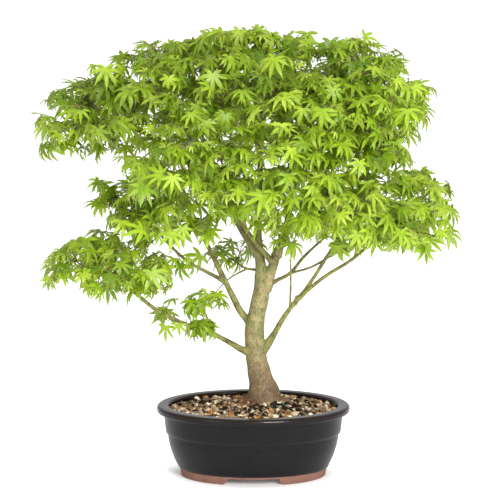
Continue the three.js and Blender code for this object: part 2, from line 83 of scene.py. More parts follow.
WALL = 7 * MM
FLOOR_LEVEL = 18 * MM
LIP_OVERHANG = 9 * MM
LIP_HEIGHT = 10 * MM
LIP_ROUND = 4 * MM
BAND_HEIGHT = 27 * MM
BAND_TAPER = 3 * MM
STEP_DEPTH = 2.6 * MM
BELLY_TAPER = 14 * MM
BELLY_CURVE = 1.75  # a little fuller than in the CAD model
FOOT_HEIGHT = 11 * MM
FOOT_SETBACK = 1.4 * MM
FOOT_TAPER = 2 * MM
FOOT_RING_WIDTH = 11 * MM
FOOT_CUT_LENGTH = 84 * MM
FOOT_CUT_CURL = 8 * MM
FOOT_CUT_HEIGHT = 9 * MM
DRAIN_RADIUS = 9 * MM
DRAIN_SPACING = 96 * MM
CUT_ROOM = 10 * MM  # how far a cutter reaches past what it cuts

# The small roundings of its profile.
FLOOR_CORNER = 10 * MM
RIM_ROUND = 3 * MM
UNDER_LIP = 1.5 * MM
STEP_ROUND = 1.2 * MM
STEP_FILLET = 0.9 * MM
FOOT_EDGE = 0.8 * MM
RECESS_CORNER = 3 * MM

BAND_TOP = RIM_LEVEL - LIP_HEIGHT
STEP_LEVEL = BAND_TOP - BAND_HEIGHT
BAND_TOP_R = RIM - LIP_OVERHANG
STEP_R = BAND_TOP_R - BAND_TAPER
BELLY_TOP_R = STEP_R - STEP_DEPTH
BELLY_FOOT_R = BELLY_TOP_R - BELLY_TAPER

# ---- Driving sizes of the ground and the tree ----

GRIT_BELOW_LIP = 6 * MM
MOUND_HEIGHT = 8 * MM
MOUND_RADIUS = 80 * MM
TRUNK_BACK = 25 * MM
FLARE_X = 14 * MM
GROUND = RIM_LEVEL - GRIT_BELOW_LIP + MOUND_HEIGHT
TREE_FOOT = Vector((POT_MIDDLE.x, POT_MIDDLE.y + TRUNK_BACK, GROUND))

# ---- Trunk, roots and boughs ----

# Each row is [x, y, height above the ground, radius], in millimetres from TREE_FOOT.

TRUNK = [
    [14, 0, -34, 15], [14, 0, -20, 20], [14, 0, -6, 24], [13.6, 0, 9, 22.4], [11, 0, 22, 17.6],
    [7, 0, 39, 15], [4, 0, 55, 14], [2, 0, 74, 13.4], [1.5, 0, 94, 12.8], [4, -1, 110, 12.2],
    [7.5, -2, 128, 11.6], [10.5, -2, 145, 11.6], [13, -2, 160, 11],
]

ROOTS = [
    [[14, 0, -8, 13], [40, -8, -6, 10], [58, -16, -20, 6], [72, -24, -38, 3]],
    [[14, 0, -8, 12], [-8, -8, -8, 8], [-28, -14, -12, 5.5], [-52, -22, -32, 3]],
    [[14, 0, -10, 12], [8, 14, -10, 8], [-2, 26, -22, 5], [-18, 32, -40, 3]],
    [[14, 0, -10, 12], [28, 12, -10, 8], [42, 22, -22, 5], [58, 28, -40, 3]],
    [[14, 0, -10, 12], [16, -20, -12, 8], [12, -40, -24, 5], [4, -56, -42, 3]],
]

BOUGHS = [
    # The fork's two stems.
    [[12, -2, 148, 9.6], [9.5, -1, 182, 8.2], [6, 0, 202, 7.2]],
    [[13.5, -2, 148, 9.6], [25, -4, 177, 7.6], [32, -6, 199, 6.6]],
    # Left leader, and its fork to the top.
    [[6, 0, 194, 6.8], [-8, 2, 214, 5.8], [-22.5, 6, 239, 5.3], [-39, 10, 266, 4.8], [-66, 12, 306, 4],
     [-106, 8, 336, 3.1], [-160, 0, 360, 2.6], [-206, -6, 374, 2.1]],
    [[-66, 12, 306, 3.6], [-84, 14, 346, 2.9], [-96, 12, 384, 2.5], [-102, 10, 424, 2]],
    # Centre leader, with forks to the back, the front and the right.
    [[6.5, 0, 194, 6.6], [6, 2, 240, 5.6], [9, 6, 298, 4.8], [8, 8, 360, 3.8], [4, 8, 408, 2.9],
     [-6, 6, 436, 2.3]],
    [[9, 6, 296, 3.6], [8, 52, 322, 3], [4, 106, 348, 2.4]],
    [[8, 7, 326, 3.2], [2, -32, 352, 2.7], [4, -80, 382, 2.1]],
    [[8, 8, 352, 3], [20, -8, 388, 2.4], [36, -20, 424, 2]],
    # Right leader, with forks to the right, the front and the back.
    [[30, -5, 192, 6.2], [36.5, -8, 210, 5.6], [44.5, -8, 238, 5.2], [49, -6, 270, 4.8], [60, -2, 302, 4.4],
     [83, 0, 332, 3.8], [105, 2, 368, 3.1], [130, 4, 414, 2.3]],
    [[60, -2, 302, 3.4], [90, -20, 326, 2.9], [122, -34, 344, 2.5], [154, -42, 356, 2.1]],
    [[50, -6, 276, 3.2], [66, -42, 316, 2.6], [92, -80, 346, 2.1]],
    [[80, 0, 329, 3], [98, 46, 338, 2.6], [114, 90, 346, 2.2]],
    # Front bough, crossing before the left stem, and its fork to the left.
    [[26, -9, 184, 4.6], [13, -18, 200, 4.2], [2, -27, 215, 3.9], [-11, -38, 236, 3.5], [-8, -74, 268, 2.8],
     [4, -110, 294, 2.3]],
    [[-11, -38, 236, 3], [-44, -68, 276, 2.6], [-82, -98, 314, 2.1]],
    # Lower left bough, and the shoot on it.
    [[2, -1, 60, 6.5], [-14, -4, 66.5, 5], [-34, -9, 79, 4.2], [-62, -16, 94.5, 3.7], [-92, -24, 106, 3.3],
     [-128, -32, 126, 3.3], [-156, -38, 150, 2.8], [-190, -44, 174, 2.2], [-222, -48, 186, 1.8]],
    [[-54, -15, 91, 2], [-60, -21, 111, 1.7], [-67, -26, 130, 1.4]],
    # Middle left bough, with forks to the left and the back.
    [[2, 0, 95, 6], [-17, 4, 117, 5.2], [-26, 6, 134, 4.8], [-41, 9, 164, 4.4], [-61, 12, 205, 3.8],
     [-82, 10, 246, 3.2], [-100, 4, 284, 2.6]],
    [[-40, 9, 157, 3.2], [-63, 0, 171, 2.9], [-84, -8, 184, 2.6], [-111, -20, 211, 2.3],
     [-138, -32, 246, 1.9]],
    [[-61, 12, 205, 2.8], [-80, 50, 240, 2.5], [-98, 86, 280, 2.1]],
    # Thin branch behind the left stem, and its fork down to the inner leaves.
    [[10, 2, 172, 2.6], [-10, 18, 172, 1.9], [-24, 34, 178, 1.6], [-38, 44, 186, 1.4]],
    [[-8, 16, 172, 1.7], [-31, 16, 159, 1.4], [-46, 6, 146, 1.3], [-60, -8, 128, 1.2]],
    # Lower right bough, with its upright fork and its thin upright shoot.
    [[5, -1, 58, 7.5], [19, -5, 75, 6.6], [28.6, -10, 91, 5], [37, -13, 107, 4.2], [48.5, -17, 124.5, 3.8],
     [65, -21, 143.5, 3.4], [95, -26, 169.5, 3], [123, -29, 187.5, 2.7], [143.6, -31, 204, 2.5],
     [172, -34, 230, 2.1]],
    [[60, -19, 138, 3.2], [76, -18, 161, 3.1], [93, -16, 188, 2.9], [107, -14, 212, 2.8],
     [112, -12, 250, 2.5], [120, -18, 300, 2.2], [140, -30, 340, 1.9]],
    [[48, -16, 123, 2], [49, -19, 160, 1.7], [49.5, -26, 200, 1.5], [58, -52, 232, 1.4], [80, -86, 262, 1.3]],
    # Upper right bough, with its fork to the front.
    [[12, -2, 146, 5], [27, 3, 156, 3.6], [48.5, 14, 166, 2.9], [66, 26, 185, 2.4], [97, 48, 210, 2.1],
     [122, 66, 227, 1.8]],
    [[48, 14, 166, 2.2], [75, 6, 175, 2], [97, -4, 189, 1.8], [121, -14, 206, 1.6], [140, -22, 226, 1.5]],
]

# The pruned stub at the lower right bough's fork.
STUB = [[54, -18, 130, 3.6], [57, -20, 137, 3.4], [58, -21, 141, 3.2]]

BOUGH_SLIMNESS = 0.85  # the boughs' girth as a share of the CAD model's
COLLAR_SWELL = 0.45  # how much thicker a bough is where it leaves the wood that carries it
COLLAR_LENGTH = 2.6  # in radii

# The fine roots that lie on the grit: how many, where they leave the trunk and how far they run, in
# millimetres, and their directions in degrees.
SURFACE_ROOTS = 18
ROOT_START = 23
ROOT_REACH = (16, 38)
ROOT_TURN = (150, 245)
ROOTLET_MARGIN = 0.6 * MM


# ---- Curves and tubes ----

def tree_place(point):
    """From millimetres away from TREE_FOOT to a place in the frame."""
    return TREE_FOOT + Vector(point[:3]) * MM


def smooth_curve(points, step):
    """A centripetal Catmull-Rom curve through [x, y, z, radius] rows, sampled about every step."""
    rows = np.array(points, float)
    rows = np.vstack([2 * rows[0] - rows[1], rows, 2 * rows[-1] - rows[-2]])
    made = []
    for i in range(1, len(rows) - 2):
        p = rows[i - 1:i + 3]
        knots = np.concatenate([[0], np.cumsum(np.sqrt(np.linalg.norm(np.diff(p[:, :3], axis=0), axis=1)))])
        count = max(2, round(np.linalg.norm(p[2, :3] - p[1, :3]) / step))
        for t in np.linspace(knots[1], knots[2], count, endpoint=False):
            made.append(catmull_rom(p, knots, t))
    made.append(rows[-2])
    return np.array(made)


def catmull_rom(p, k, t):
    def between(a, b, low, high):
        return (a * (high - t) + b * (t - low)) / (high - low)

    a = [between(p[i], p[i + 1], k[i], k[i + 1]) for i in range(3)]
    b = [between(a[i], a[i + 1], k[i], k[i + 2]) for i in range(2)]
    return between(b[0], b[1], k[1], k[2])


def ring_frames(centres):
    """A side and an upper direction for each centre, turned as little as possible along the line."""
    tangents = np.gradient(centres, axis=0)
    tangents /= np.linalg.norm(tangents, axis=1, keepdims=True)
    side = np.cross(tangents[0], [0.31, 0.95, 0.05])
    sides = []
    for tangent in tangents:
        side = side - tangent * side.dot(tangent)
        side = side / np.linalg.norm(side)
        sides.append(side)
    sides = np.array(sides)
    return sides, np.cross(tangents, sides), tangents


def tube(centres, radii, sides):
    """A closed tube: its places, its triangles and each triangle corner's place along and around it."""
    side, upper, tangents = ring_frames(centres)
    turns = np.arange(sides) * 2 * math.pi / sides
    rings = (
        centres[:, None, :]
        + radii[:, None, None] * np.cos(turns)[None, :, None] * side[:, None, :]
        + radii[:, None, None] * np.sin(turns)[None, :, None] * upper[:, None, :]
    )
    count = len(centres)
    start = centres[0] - tangents[0] * radii[0] * 0.6
    end = centres[-1] + tangents[-1] * radii[-1] * 0.6
    places = np.vstack([rings.reshape(-1, 3), start, end])
    first, last = count * sides, count * sides + 1
    faces, along = [], []
    levels = (np.arange(count) + 1) / (count + 1)
    for k in range(sides):
        n = (k + 1) % sides
        a, b = k / sides, (k + 1) / sides
        faces.append([first, n, k])
        along.append([(0, (a + b) / 2), (levels[0], b), (levels[0], a)])
        for i in range(count - 1):
            low, high = levels[i], levels[i + 1]
            p, q = i * sides, (i + 1) * sides
            faces += [[p + k, p + n, q + n], [p + k, q + n, q + k]]
            along += [[(low, a), (low, b), (high, b)], [(low, a), (high, b), (high, a)]]
        top = (count - 1) * sides
        faces.append([top + k, top + n, last])
        along.append([(levels[-1], a), (levels[-1], b), (1, (a + b) / 2)])
    return places, np.array(faces), np.array(along, float)


# ---- Meshes ----

def new_object(name, mesh):
    made = bpy.data.objects.new(name, mesh)
    bpy.context.scene.collection.objects.link(made)
    return made


def triangle_mesh(name, places, faces):
    mesh = bpy.data.meshes.new(name)
    mesh.vertices.add(len(places))
    mesh.vertices.foreach_set("co", np.asarray(places, np.float32).ravel())
    mesh.loops.add(3 * len(faces))
    mesh.loops.foreach_set("vertex_index", np.asarray(faces, np.int32).ravel())
    mesh.polygons.add(len(faces))
    mesh.polygons.foreach_set("loop_start", np.arange(0, 3 * len(faces), 3, dtype=np.int32))
    mesh.update(calc_edges=True)
    mesh.validate()
    return mesh


def places_of(mesh):
    places = np.empty(3 * len(mesh.vertices), np.float32)
    mesh.vertices.foreach_get("co", places)
    return places.reshape(-1, 3)


def write_places(mesh, places):
    mesh.vertices.foreach_set("co", np.asarray(places, np.float32).ravel())
    mesh.update()


def write_tint(mesh, tint):
    """One colour for each vertex, which the materials read as "tint"."""
    layer = mesh.attributes.new("tint", "FLOAT_COLOR", "POINT")
    colours = np.ones((len(mesh.vertices), 4), np.float32)
    colours[:, :3] = tint
    layer.data.foreach_set("color", colours.ravel())


def write_number(mesh, name, values):
    mesh.attributes.new(name, "FLOAT", "POINT").data.foreach_set("value", np.asarray(values, np.float32))


def with_modifiers(thing, *settings):
    """Adds each modifier, given as (type, {setting: value}), and keeps its result as the mesh."""
    for kind, values in settings:
        modifier = thing.modifiers.new(kind.lower(), kind)
        for key, value in values.items():
            setattr(modifier, key, value)
        bpy.context.view_layer.update()
        result = bpy.data.meshes.new_from_object(thing.evaluated_get(bpy.context.evaluated_depsgraph_get()))
        thing.modifiers.clear()
        thing.data = result
    return thing


def smooth_shaded(mesh, sharp_degrees=None):
    mesh.shade_smooth()
    if sharp_degrees:
        mesh.set_sharp_from_angle(angle=math.radians(sharp_degrees))


def paint(mesh, *materials):
    mesh.materials.clear()
    for material in materials:
        mesh.materials.append(material)


def finished(thing, slot, *nodes):
    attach(thing, "root")
    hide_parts(*nodes)


# ---- Materials ----

class Look:
    """A Principled material and the few node shapes that the materials share."""

    def __init__(self, name, **sockets):
        self.material = bpy.data.materials.new(name)
        self.material.use_nodes = True
        self.nodes = self.material.node_tree.nodes
        self.links = self.material.node_tree.links
        self.shader = self.nodes["Principled BSDF"]
        for key, value in sockets.items():
            self.shader.inputs[key.replace("_", " ")].default_value = value

    def node(self, kind, inputs=None, **settings):
        made = self.nodes.new("ShaderNode" + kind)
        for key, value in settings.items():
            setattr(made, key, value)
        for key, value in (inputs or {}).items():
            if isinstance(value, bpy.types.NodeSocket):
                self.links.new(value, made.inputs[key])
            else:
                made.inputs[key].default_value = value
        return made

    def place(self, scale=(1, 1, 1)):
        coordinates = self.node("TexCoord").outputs["Object"]
        return self.node("Mapping", {"Vector": coordinates, "Scale": scale}).outputs["Vector"]

    def noise(self, vector, scale, detail=3.0, rough=0.55):
        made = self.node("TexNoise", {"Vector": vector, "Scale": scale, "Detail": detail, "Roughness": rough})
        return made.outputs["Fac"]

    def ramp(self, value, low, high, start=0.0, end=1.0):
        inputs = {"Value": value, "From Min": low, "From Max": high, "To Min": start, "To Max": end}
        return self.node("MapRange", inputs).outputs["Result"]

    def mix(self, factor, first, second, blend="MIX"):
        made = self.node("Mix", data_type="RGBA", blend_type=blend)
        for index, value in ((0, factor), (6, first), (7, second)):
            if isinstance(value, bpy.types.NodeSocket):
                self.links.new(value, made.inputs[index])
            else:
                made.inputs[index].default_value = value if index == 0 else (*value, 1)
        return made.outputs[2]

    def maths(self, operation, first, second=0.5):
        return self.node("Math", {0: first, 1: second}, operation=operation).outputs["Value"]

    def attribute(self, name, output="Color"):
        return self.node("Attribute", attribute_name=name).outputs[output]

    def colour(self, value):
        self.links.new(value, self.shader.inputs["Base Color"])

    def roughness(self, value):
        self.links.new(value, self.shader.inputs["Roughness"])

    def bump(self, height, distance, strength=1.0):
        inputs = {"Height": height, "Distance": distance, "Strength": strength}
        made = self.node("Bump", inputs)
        self.links.new(made.outputs["Normal"], self.shader.inputs["Normal"])


def glaze_look():
    look = Look("dark_glaze", Specular_IOR_Level=0.19, Coat_Roughness=0.1)
    place = look.place()
    cloud = look.noise(place, 38, 4)
    streak = look.noise(look.place((1, 1, 9)), 60, 4)
    speck = look.noise(place, 1100, 2)
    body = look.mix(look.ramp(cloud, 0.35, 0.7), (0.001, 0.0008, 0.0011), (0.0029, 0.0024, 0.0027))
    worn = look.mix(look.ramp(streak, 0.5, 0.75, 0, 0.5), body, (0.0105, 0.0088, 0.0086))
    # The lip and the step edge: brown where the glaze thins there, and partly a painted highlight along those
    # edges. The same mask also adds coat and lowers roughness.
    edge = look.attribute("thin_glaze_and_highlight", "Fac")
    thin = look.mix(look.ramp(edge, 0.1, 1, 0, 0.8), worn, (0.026, 0.014, 0.013))
    look.colour(look.mix(look.ramp(speck, 0.66, 0.74, 0, 0.3), thin, (0.035, 0.03, 0.028)))
    look.links.new(look.ramp(edge, 0.4, 1, 0, 0.8), look.shader.inputs["Coat Weight"])
    satin = look.ramp(streak, 0.3, 0.7, 0.3, 0.44)
    look.roughness(look.maths("SUBTRACT", satin, look.ramp(edge, 0, 0.6, 0, 0.16)))
    look.bump(look.maths("ADD", cloud, streak), 0.3 * MM, 0.25)
    return look.material


def clay_look():
    look = Look("bare_clay")
    place = look.place()
    cloud = look.noise(place, 60, 4)
    grain = look.noise(place, 1500, 3)
    body = look.mix(look.ramp(cloud, 0.3, 0.7), (0.165, 0.075, 0.05), (0.22, 0.106, 0.074))
    look.colour(look.mix(look.ramp(grain, 0.55, 0.75, 0, 0.6), body, (0.12, 0.055, 0.04)))
    look.roughness(look.ramp(grain, 0.3, 0.7, 0.75, 0.95))
    look.bump(grain, 0.25 * MM, 0.6)
    return look.material


def soil_look():
    look = Look("damp_soil")
    place = look.place()
    crumbs = look.noise(place, 420, 5, 0.7)
    body = look.mix(look.ramp(crumbs, 0.35, 0.65), (0.006, 0.0035, 0.002), (0.035, 0.019, 0.01))
    look.colour(body)
    look.roughness(look.ramp(crumbs, 0.3, 0.7, 0.7, 0.98))
    look.bump(crumbs, 1.5 * MM)
    return look.material


def stone_look():
    look = Look("mixed_grit", Specular_IOR_Level=0.2)
    place = look.place()
    cloud = look.noise(place, 500, 4, 0.65)
    grain = look.noise(place, 2600, 3, 0.7)
    tint = look.attribute("tint")
    dark = look.mix(1.0, tint, (0.42, 0.34, 0.27), "MULTIPLY")
    body = look.mix(look.ramp(cloud, 0.38, 0.6), dark, tint)
    glint = look.mix(1.0, tint, (1.7, 1.6, 1.5), "MULTIPLY")
    look.colour(look.mix(look.ramp(grain, 0.56, 0.72, 0, 0.7), body, glint))
    look.roughness(look.ramp(grain, 0.3, 0.7, 0.65, 0.95))
    look.bump(look.maths("ADD", cloud, grain), 0.5 * MM, 0.7)
    return look.material


def bark_look():
    look = Look("maple_bark")
    place = look.place()
    blotch = look.noise(place, 105, 4, 0.6)
    fleck = look.noise(look.place((1, 1, 0.35)), 520, 4, 0.65)
    pores = look.node("TexVoronoi", {"Vector": look.place((170, 170, 420)), "Scale": 1.0})
    girth = look.attribute("girth", "Fac")
    height = look.node("SeparateXYZ", {"Vector": place}).outputs["Z"]
    stem = look.mix(look.ramp(blotch, 0.38, 0.62), (0.2, 0.16, 0.062), (0.34, 0.285, 0.124))
    green = look.ramp(look.noise(place, 60, 5, 0.65), 0.46, 0.58, 0, 0.8)
    stem = look.mix(green, stem, (0.17, 0.2, 0.055))
    foot = look.mix(look.ramp(blotch, 0.38, 0.62), (0.13, 0.078, 0.039), (0.215, 0.134, 0.068))
    old = look.mix(look.ramp(height, GROUND + 15 * MM, GROUND + 75 * MM), foot, stem)
    young = look.mix(look.ramp(blotch, 0.35, 0.65), (0.08, 0.075, 0.017), (0.255, 0.26, 0.045))
    low_down = look.ramp(height, GROUND + 30 * MM, GROUND + 10 * MM)
    bark = look.mix(look.maths("MAXIMUM", low_down, look.ramp(girth, 3 * MM, 8 * MM)), young, old)
    bark = look.mix(look.attribute("rootlet", "Fac"), bark, (0.15, 0.055, 0.025))
    flecked = look.mix(look.ramp(fleck, 0.48, 0.66, 0, 0.65), bark, (0.06, 0.038, 0.016))
    thick = look.ramp(girth, 4 * MM, 9 * MM, 0.1, 0.5)
    pore = look.maths("MULTIPLY", look.ramp(pores.outputs["Distance"], 0.12, 0.3, 1, 0), thick)
    look.colour(look.mix(pore, flecked, (0.4, 0.34, 0.2)))
    look.roughness(look.ramp(fleck, 0.3, 0.7, 0.6, 0.85))
    look.bump(look.maths("ADD", fleck, look.maths("MULTIPLY", blotch, 1.5)), 0.8 * MM, 0.6)
    return look.material


def twig_look():
    look = Look("twig_bark", Roughness=0.55)
    mottle = look.noise(look.place(), 420, 3)
    tint = look.attribute("tint")
    dark = look.mix(1.0, tint, (0.6, 0.55, 0.5), "MULTIPLY")
    look.colour(look.mix(look.ramp(mottle, 0.4, 0.65), dark, tint))
    look.bump(mottle, 0.2 * MM, 0.5)
    return look.material


def leaf_look():
    """Veined blades: "blade" holds how far out along its lobe a point is, and how far from the midrib."""
    look = Look("maple_leaf", Specular_IOR_Level=0.3, Subsurface_Weight=0.3, Subsurface_Scale=0.003)
    look.shader.inputs["Subsurface Radius"].default_value = (0.6, 1.0, 0.15)
    tint = look.attribute("tint")
    blade = look.node("SeparateXYZ", {"Vector": look.attribute("blade", "Vector")})
    out, across = blade.outputs["X"], blade.outputs["Y"]
    midrib = look.ramp(across, 0.04, 0.2, 0.55, 0)
    slant = look.maths("SUBTRACT", look.maths("MULTIPLY", out, 34), look.maths("MULTIPLY", across, 5))
    side_veins = look.ramp(look.maths("SINE", slant), 0.75, 1, 0, 0.22)
    light = look.mix(1.0, tint, (1.5, 1.35, 1.9), "MULTIPLY")
    veined = look.mix(look.maths("MAXIMUM", midrib, side_veins), tint, light)
    mottle = look.noise(look.place(), 130, 3)
    deep = look.mix(1.0, veined, (0.72, 0.8, 0.7), "MULTIPLY")
    body = look.mix(look.ramp(mottle, 0.35, 0.6), deep, veined)
    tip = look.maths("MULTIPLY", look.ramp(out, 0.86, 1.0, 0, 0.6), look.attribute("blade", "Fac"))
    look.colour(look.mix(tip, body, (0.3, 0.17, 0.05)))
    look.roughness(look.ramp(mottle, 0.3, 0.7, 0.36, 0.52))
    look.bump(midrib, 0.25 * MM, 0.4)
    return look.material


def plain_look(name, colour, rough, grain_scale, metal=0.0):
    look = Look(name, Metallic=metal)
    grain = look.noise(look.place(), grain_scale, 3)
    look.colour(look.mix(look.ramp(grain, 0.35, 0.65), tuple(0.75 * c for c in colour), colour))
    look.roughness(look.ramp(grain, 0.3, 0.7, rough - 0.08, rough + 0.08))
    look.bump(grain, 0.1 * MM, 0.3)
    return look.material


# ---- Pot ----

def belly_at(z):
    down = (STEP_LEVEL - z) / (STEP_LEVEL - FOOT_HEIGHT)
    return BELLY_TOP_R - BELLY_TAPER * min(max(down, 0), 1) ** BELLY_CURVE


def inner_wall_at(z):
    if z < STEP_LEVEL:
        return belly_at(z) - WALL
    return STEP_R + BAND_TAPER * min((z - STEP_LEVEL) / BAND_HEIGHT, 1) - WALL


def arc(centre_r, centre_z, radius, start, end, steps):
    turns = [math.radians(start + (end - start) * i / steps) for i in range(steps + 1)]
    return [(centre_r + radius * math.cos(t), centre_z + radius * math.sin(t)) for t in turns]


def pot_profile():
    """From the inside of the floor up over the lip and down to the underside, as (half length, height)."""
    inside = [(0, FLOOR_LEVEL), (inner_wall_at(FLOOR_LEVEL) - FLOOR_CORNER, FLOOR_LEVEL)]
    wall_heights = np.linspace(FLOOR_LEVEL + FLOOR_CORNER, RIM_LEVEL - RIM_ROUND, 9)
    inside += [(inner_wall_at(z), z) for z in wall_heights]
    mouth = inner_wall_at(RIM_LEVEL)
    rim = arc(mouth + RIM_ROUND, RIM_LEVEL - RIM_ROUND, RIM_ROUND, 180, 90, 5)[1:]
    lip = arc(RIM - LIP_ROUND, RIM_LEVEL - LIP_ROUND, LIP_ROUND, 90, 0, 7)
    lip += arc(RIM - LIP_ROUND, BAND_TOP + LIP_ROUND, LIP_ROUND, 0, -90, 7)
    lip += arc(BAND_TOP_R + UNDER_LIP, BAND_TOP - UNDER_LIP, UNDER_LIP, 90, 180, 4)
    return inside + rim + lip + band_profile() + foot_profile()


def band_profile():
    """The band below the lip, the step under it and the belly, down to the edge of the glaze."""
    band_foot = STEP_LEVEL + STEP_ROUND
    band = [(STEP_R + BAND_TAPER * (z - STEP_LEVEL) / BAND_HEIGHT, z)
            for z in np.linspace(BAND_TOP - 2 * UNDER_LIP, band_foot, 6)]
    step = arc(STEP_R - STEP_ROUND, band_foot, STEP_ROUND, 0, -90, 4)[1:]
    step += arc(BELLY_TOP_R + STEP_FILLET, STEP_LEVEL - STEP_FILLET, STEP_FILLET, 90, 180, 3)
    belly_heights = np.linspace(STEP_LEVEL - 2.5 * MM, FOOT_HEIGHT + 1.6 * MM, 12)
    belly = [(belly_at(z), z) for z in belly_heights]
    glaze_edge = arc(BELLY_FOOT_R - MM, FOOT_HEIGHT + MM, MM, 0, -90, 3)
    return band + step + belly + glaze_edge


def foot_profile():
    """The bare foot ring, and the recess inside it."""
    top = BELLY_FOOT_R - FOOT_SETBACK
    low = top - FOOT_TAPER
    inside = low - FOOT_RING_WIDTH
    recess = FOOT_HEIGHT - MM
    foot = [(top, FOOT_HEIGHT - 0.2 * MM), (low + 0.2 * MM, FOOT_EDGE)]
    foot += [(low - FOOT_EDGE, 0), (inside + FOOT_EDGE, 0), (inside, FOOT_EDGE)]
    foot += [(inside, recess - RECESS_CORNER), (inside - RECESS_CORNER, recess), (0, recess)]
    return foot


def oval_point(r, turn, z):
    """The half width is always the same amount less than the half length, and a disc near the middle."""
    across = max(r - OVAL_DIFFERENCE, 0.35 * r)
    return (POT_MIDDLE.x + r * math.cos(turn), POT_MIDDLE.y + across * math.sin(turn), POT_LOW.z + z)


def lathe(name, profile, sides):
    """Sweeps (half length, height) pairs once around the pot's oval."""
    places, faces, rings = [], [], []
    for r, z in profile:
        if r == 0:
            rings.append([len(places)] * sides)
            places.append(oval_point(0, 0, z))
        else:
            rings.append(list(range(len(places), len(places) + sides)))
            places += [oval_point(r, 2 * math.pi * k / sides, z) for k in range(sides)]
    for low, high in zip(rings, rings[1:]):
        for k in range(sides):
            n = (k + 1) % sides
            faces.append(list(dict.fromkeys([low[k], high[k], high[n], low[n]])))
    mesh = bpy.data.meshes.new(name)
    mesh.from_pydata(places, [], faces)
    mesh.validate()
    return new_object(name, mesh)


def prism(name, outline, low, high, along):
    """A closed prism: its outline lies in X and Z and is drawn along Y, or lies in X and Y, clockwise, and is
    drawn along Z."""
    places = []
    for end in (low, high):
        places += [(a, end, b) if along == "Y" else (a, b, end) for a, b in outline]
    count = len(outline)
    faces = [list(range(count)), list(range(2 * count - 1, count - 1, -1))]
    faces += [[k, k + count, (k + 1) % count + count, (k + 1) % count] for k in range(count)]
    mesh = bpy.data.meshes.new(name)
    mesh.from_pydata(places, [], faces)
    mesh.validate()
    return with_modifiers(new_object(name, mesh), ("TRIANGULATE", {}))


def foot_cut():
    """Cuts the foot ring into two feet, with a curled end on each."""
    half, top = FOOT_CUT_LENGTH / 2, FOOT_CUT_HEIGHT
    side = [(half, -MM), (half, 0)]
    for t in np.linspace(0.15, 1, 7):
        curl = FOOT_CUT_CURL * (2 * t * (1 - t) + t * t)
        side.append((half - curl, top * (0.5 * t * (1 - t) + t * t)))
    outline = side + [(-x, z) for x, z in reversed(side)]
    outline = [(POT_MIDDLE.x + x, z) for x, z in outline]
    return prism("foot_cut", outline, POT_LOW.y - CUT_ROOM, POT_HIGH.y + CUT_ROOM, "Y")


def drain_cut(side):
    turns = [-2 * math.pi * k / 32 for k in range(32)]
    x, y = POT_MIDDLE.x + side * DRAIN_SPACING / 2, POT_MIDDLE.y
    outline = [(x + DRAIN_RADIUS * math.cos(t), y + DRAIN_RADIUS * math.sin(t)) for t in turns]
    return prism(f"drain_cut_{side}", outline, -CUT_ROOM, FLOOR_LEVEL + CUT_ROOM, "Z")


def make_pot():
    pot = lathe("glazed_pot", pot_profile(), 144)
    for cutter in (foot_cut(), drain_cut(-1), drain_cut(1)):
        with_modifiers(pot, ("BOOLEAN", {"operation": "DIFFERENCE", "object": cutter, "solver": "EXACT"}))
        bpy.data.objects.remove(cutter)
    mesh = pot.data
    paint(mesh, glaze_look(), clay_look())
    glaze_foot = FOOT_HEIGHT + 0.4 * MM
    for face in mesh.polygons:
        inside = face.normal.z > 0.5 and face.center.z < FLOOR_LEVEL + MM
        face.material_index = int(face.center.z < glaze_foot or inside)
    smooth_shaded(mesh, 38)
    places = places_of(mesh)
    # Brown thin glaze and partly painted highlight: over the lip, most at its top, and along the step.
    lip = np.clip((places[:, 2] - BAND_TOP) / LIP_HEIGHT, 0, 1)
    step = np.clip(1 - np.abs(places[:, 2] - STEP_LEVEL - MM) / (1.6 * MM), 0, 1)
    write_number(mesh, "thin_glaze_and_highlight", np.maximum(lip ** 2, 0.38 * step))
    finished(pot, "glaze", "pot")


# ---- Ground ----

SOIL_GAP = 0.3 * MM
GRIT_DEPTH = 4.5 * MM
CRUMB_HEIGHT = 1.3 * MM


def ground_height(x, y):
    """The top of the grit, at a place given from the pot's middle."""
    away = min(math.hypot(x - FLARE_X, y - TRUNK_BACK) / MOUND_RADIUS, 1)
    return RIM_LEVEL - GRIT_BELOW_LIP + MOUND_HEIGHT * (0.5 + 0.5 * math.cos(math.pi * away))


def make_soil():
    rings, sides = 34, 128
    wall = inner_wall_at(RIM_LEVEL - GRIT_BELOW_LIP) - SOIL_GAP
    floor = FLOOR_LEVEL + 4 * MM
    profile = [(wall * i / rings, RIM_LEVEL) for i in range(rings + 1)]
    profile += [(inner_wall_at(z) - SOIL_GAP, z) for z in (0.07, 0.055, 0.04, 0.03)]
    profile += [(inner_wall_at(floor) - 11 * MM, floor), (0, floor)]
    soil = lathe("soil_bed", profile, sides)
    for vertex in soil.data.vertices:
        if vertex.co.z < RIM_LEVEL - MM:
            continue
        x, y = vertex.co.x - POT_MIDDLE.x, vertex.co.y - POT_MIDDLE.y
        crumb = noise.noise(Vector((x, y, 0)) * 260) + 0.6 * noise.noise(Vector((x, y, 1)) * 620)
        vertex.co.z = ground_height(x, y) - GRIT_DEPTH + CRUMB_HEIGHT * crumb
    smooth_shaded(soil.data)
    paint(soil.data, soil_look())
    finished(soil, "soil", "soil")
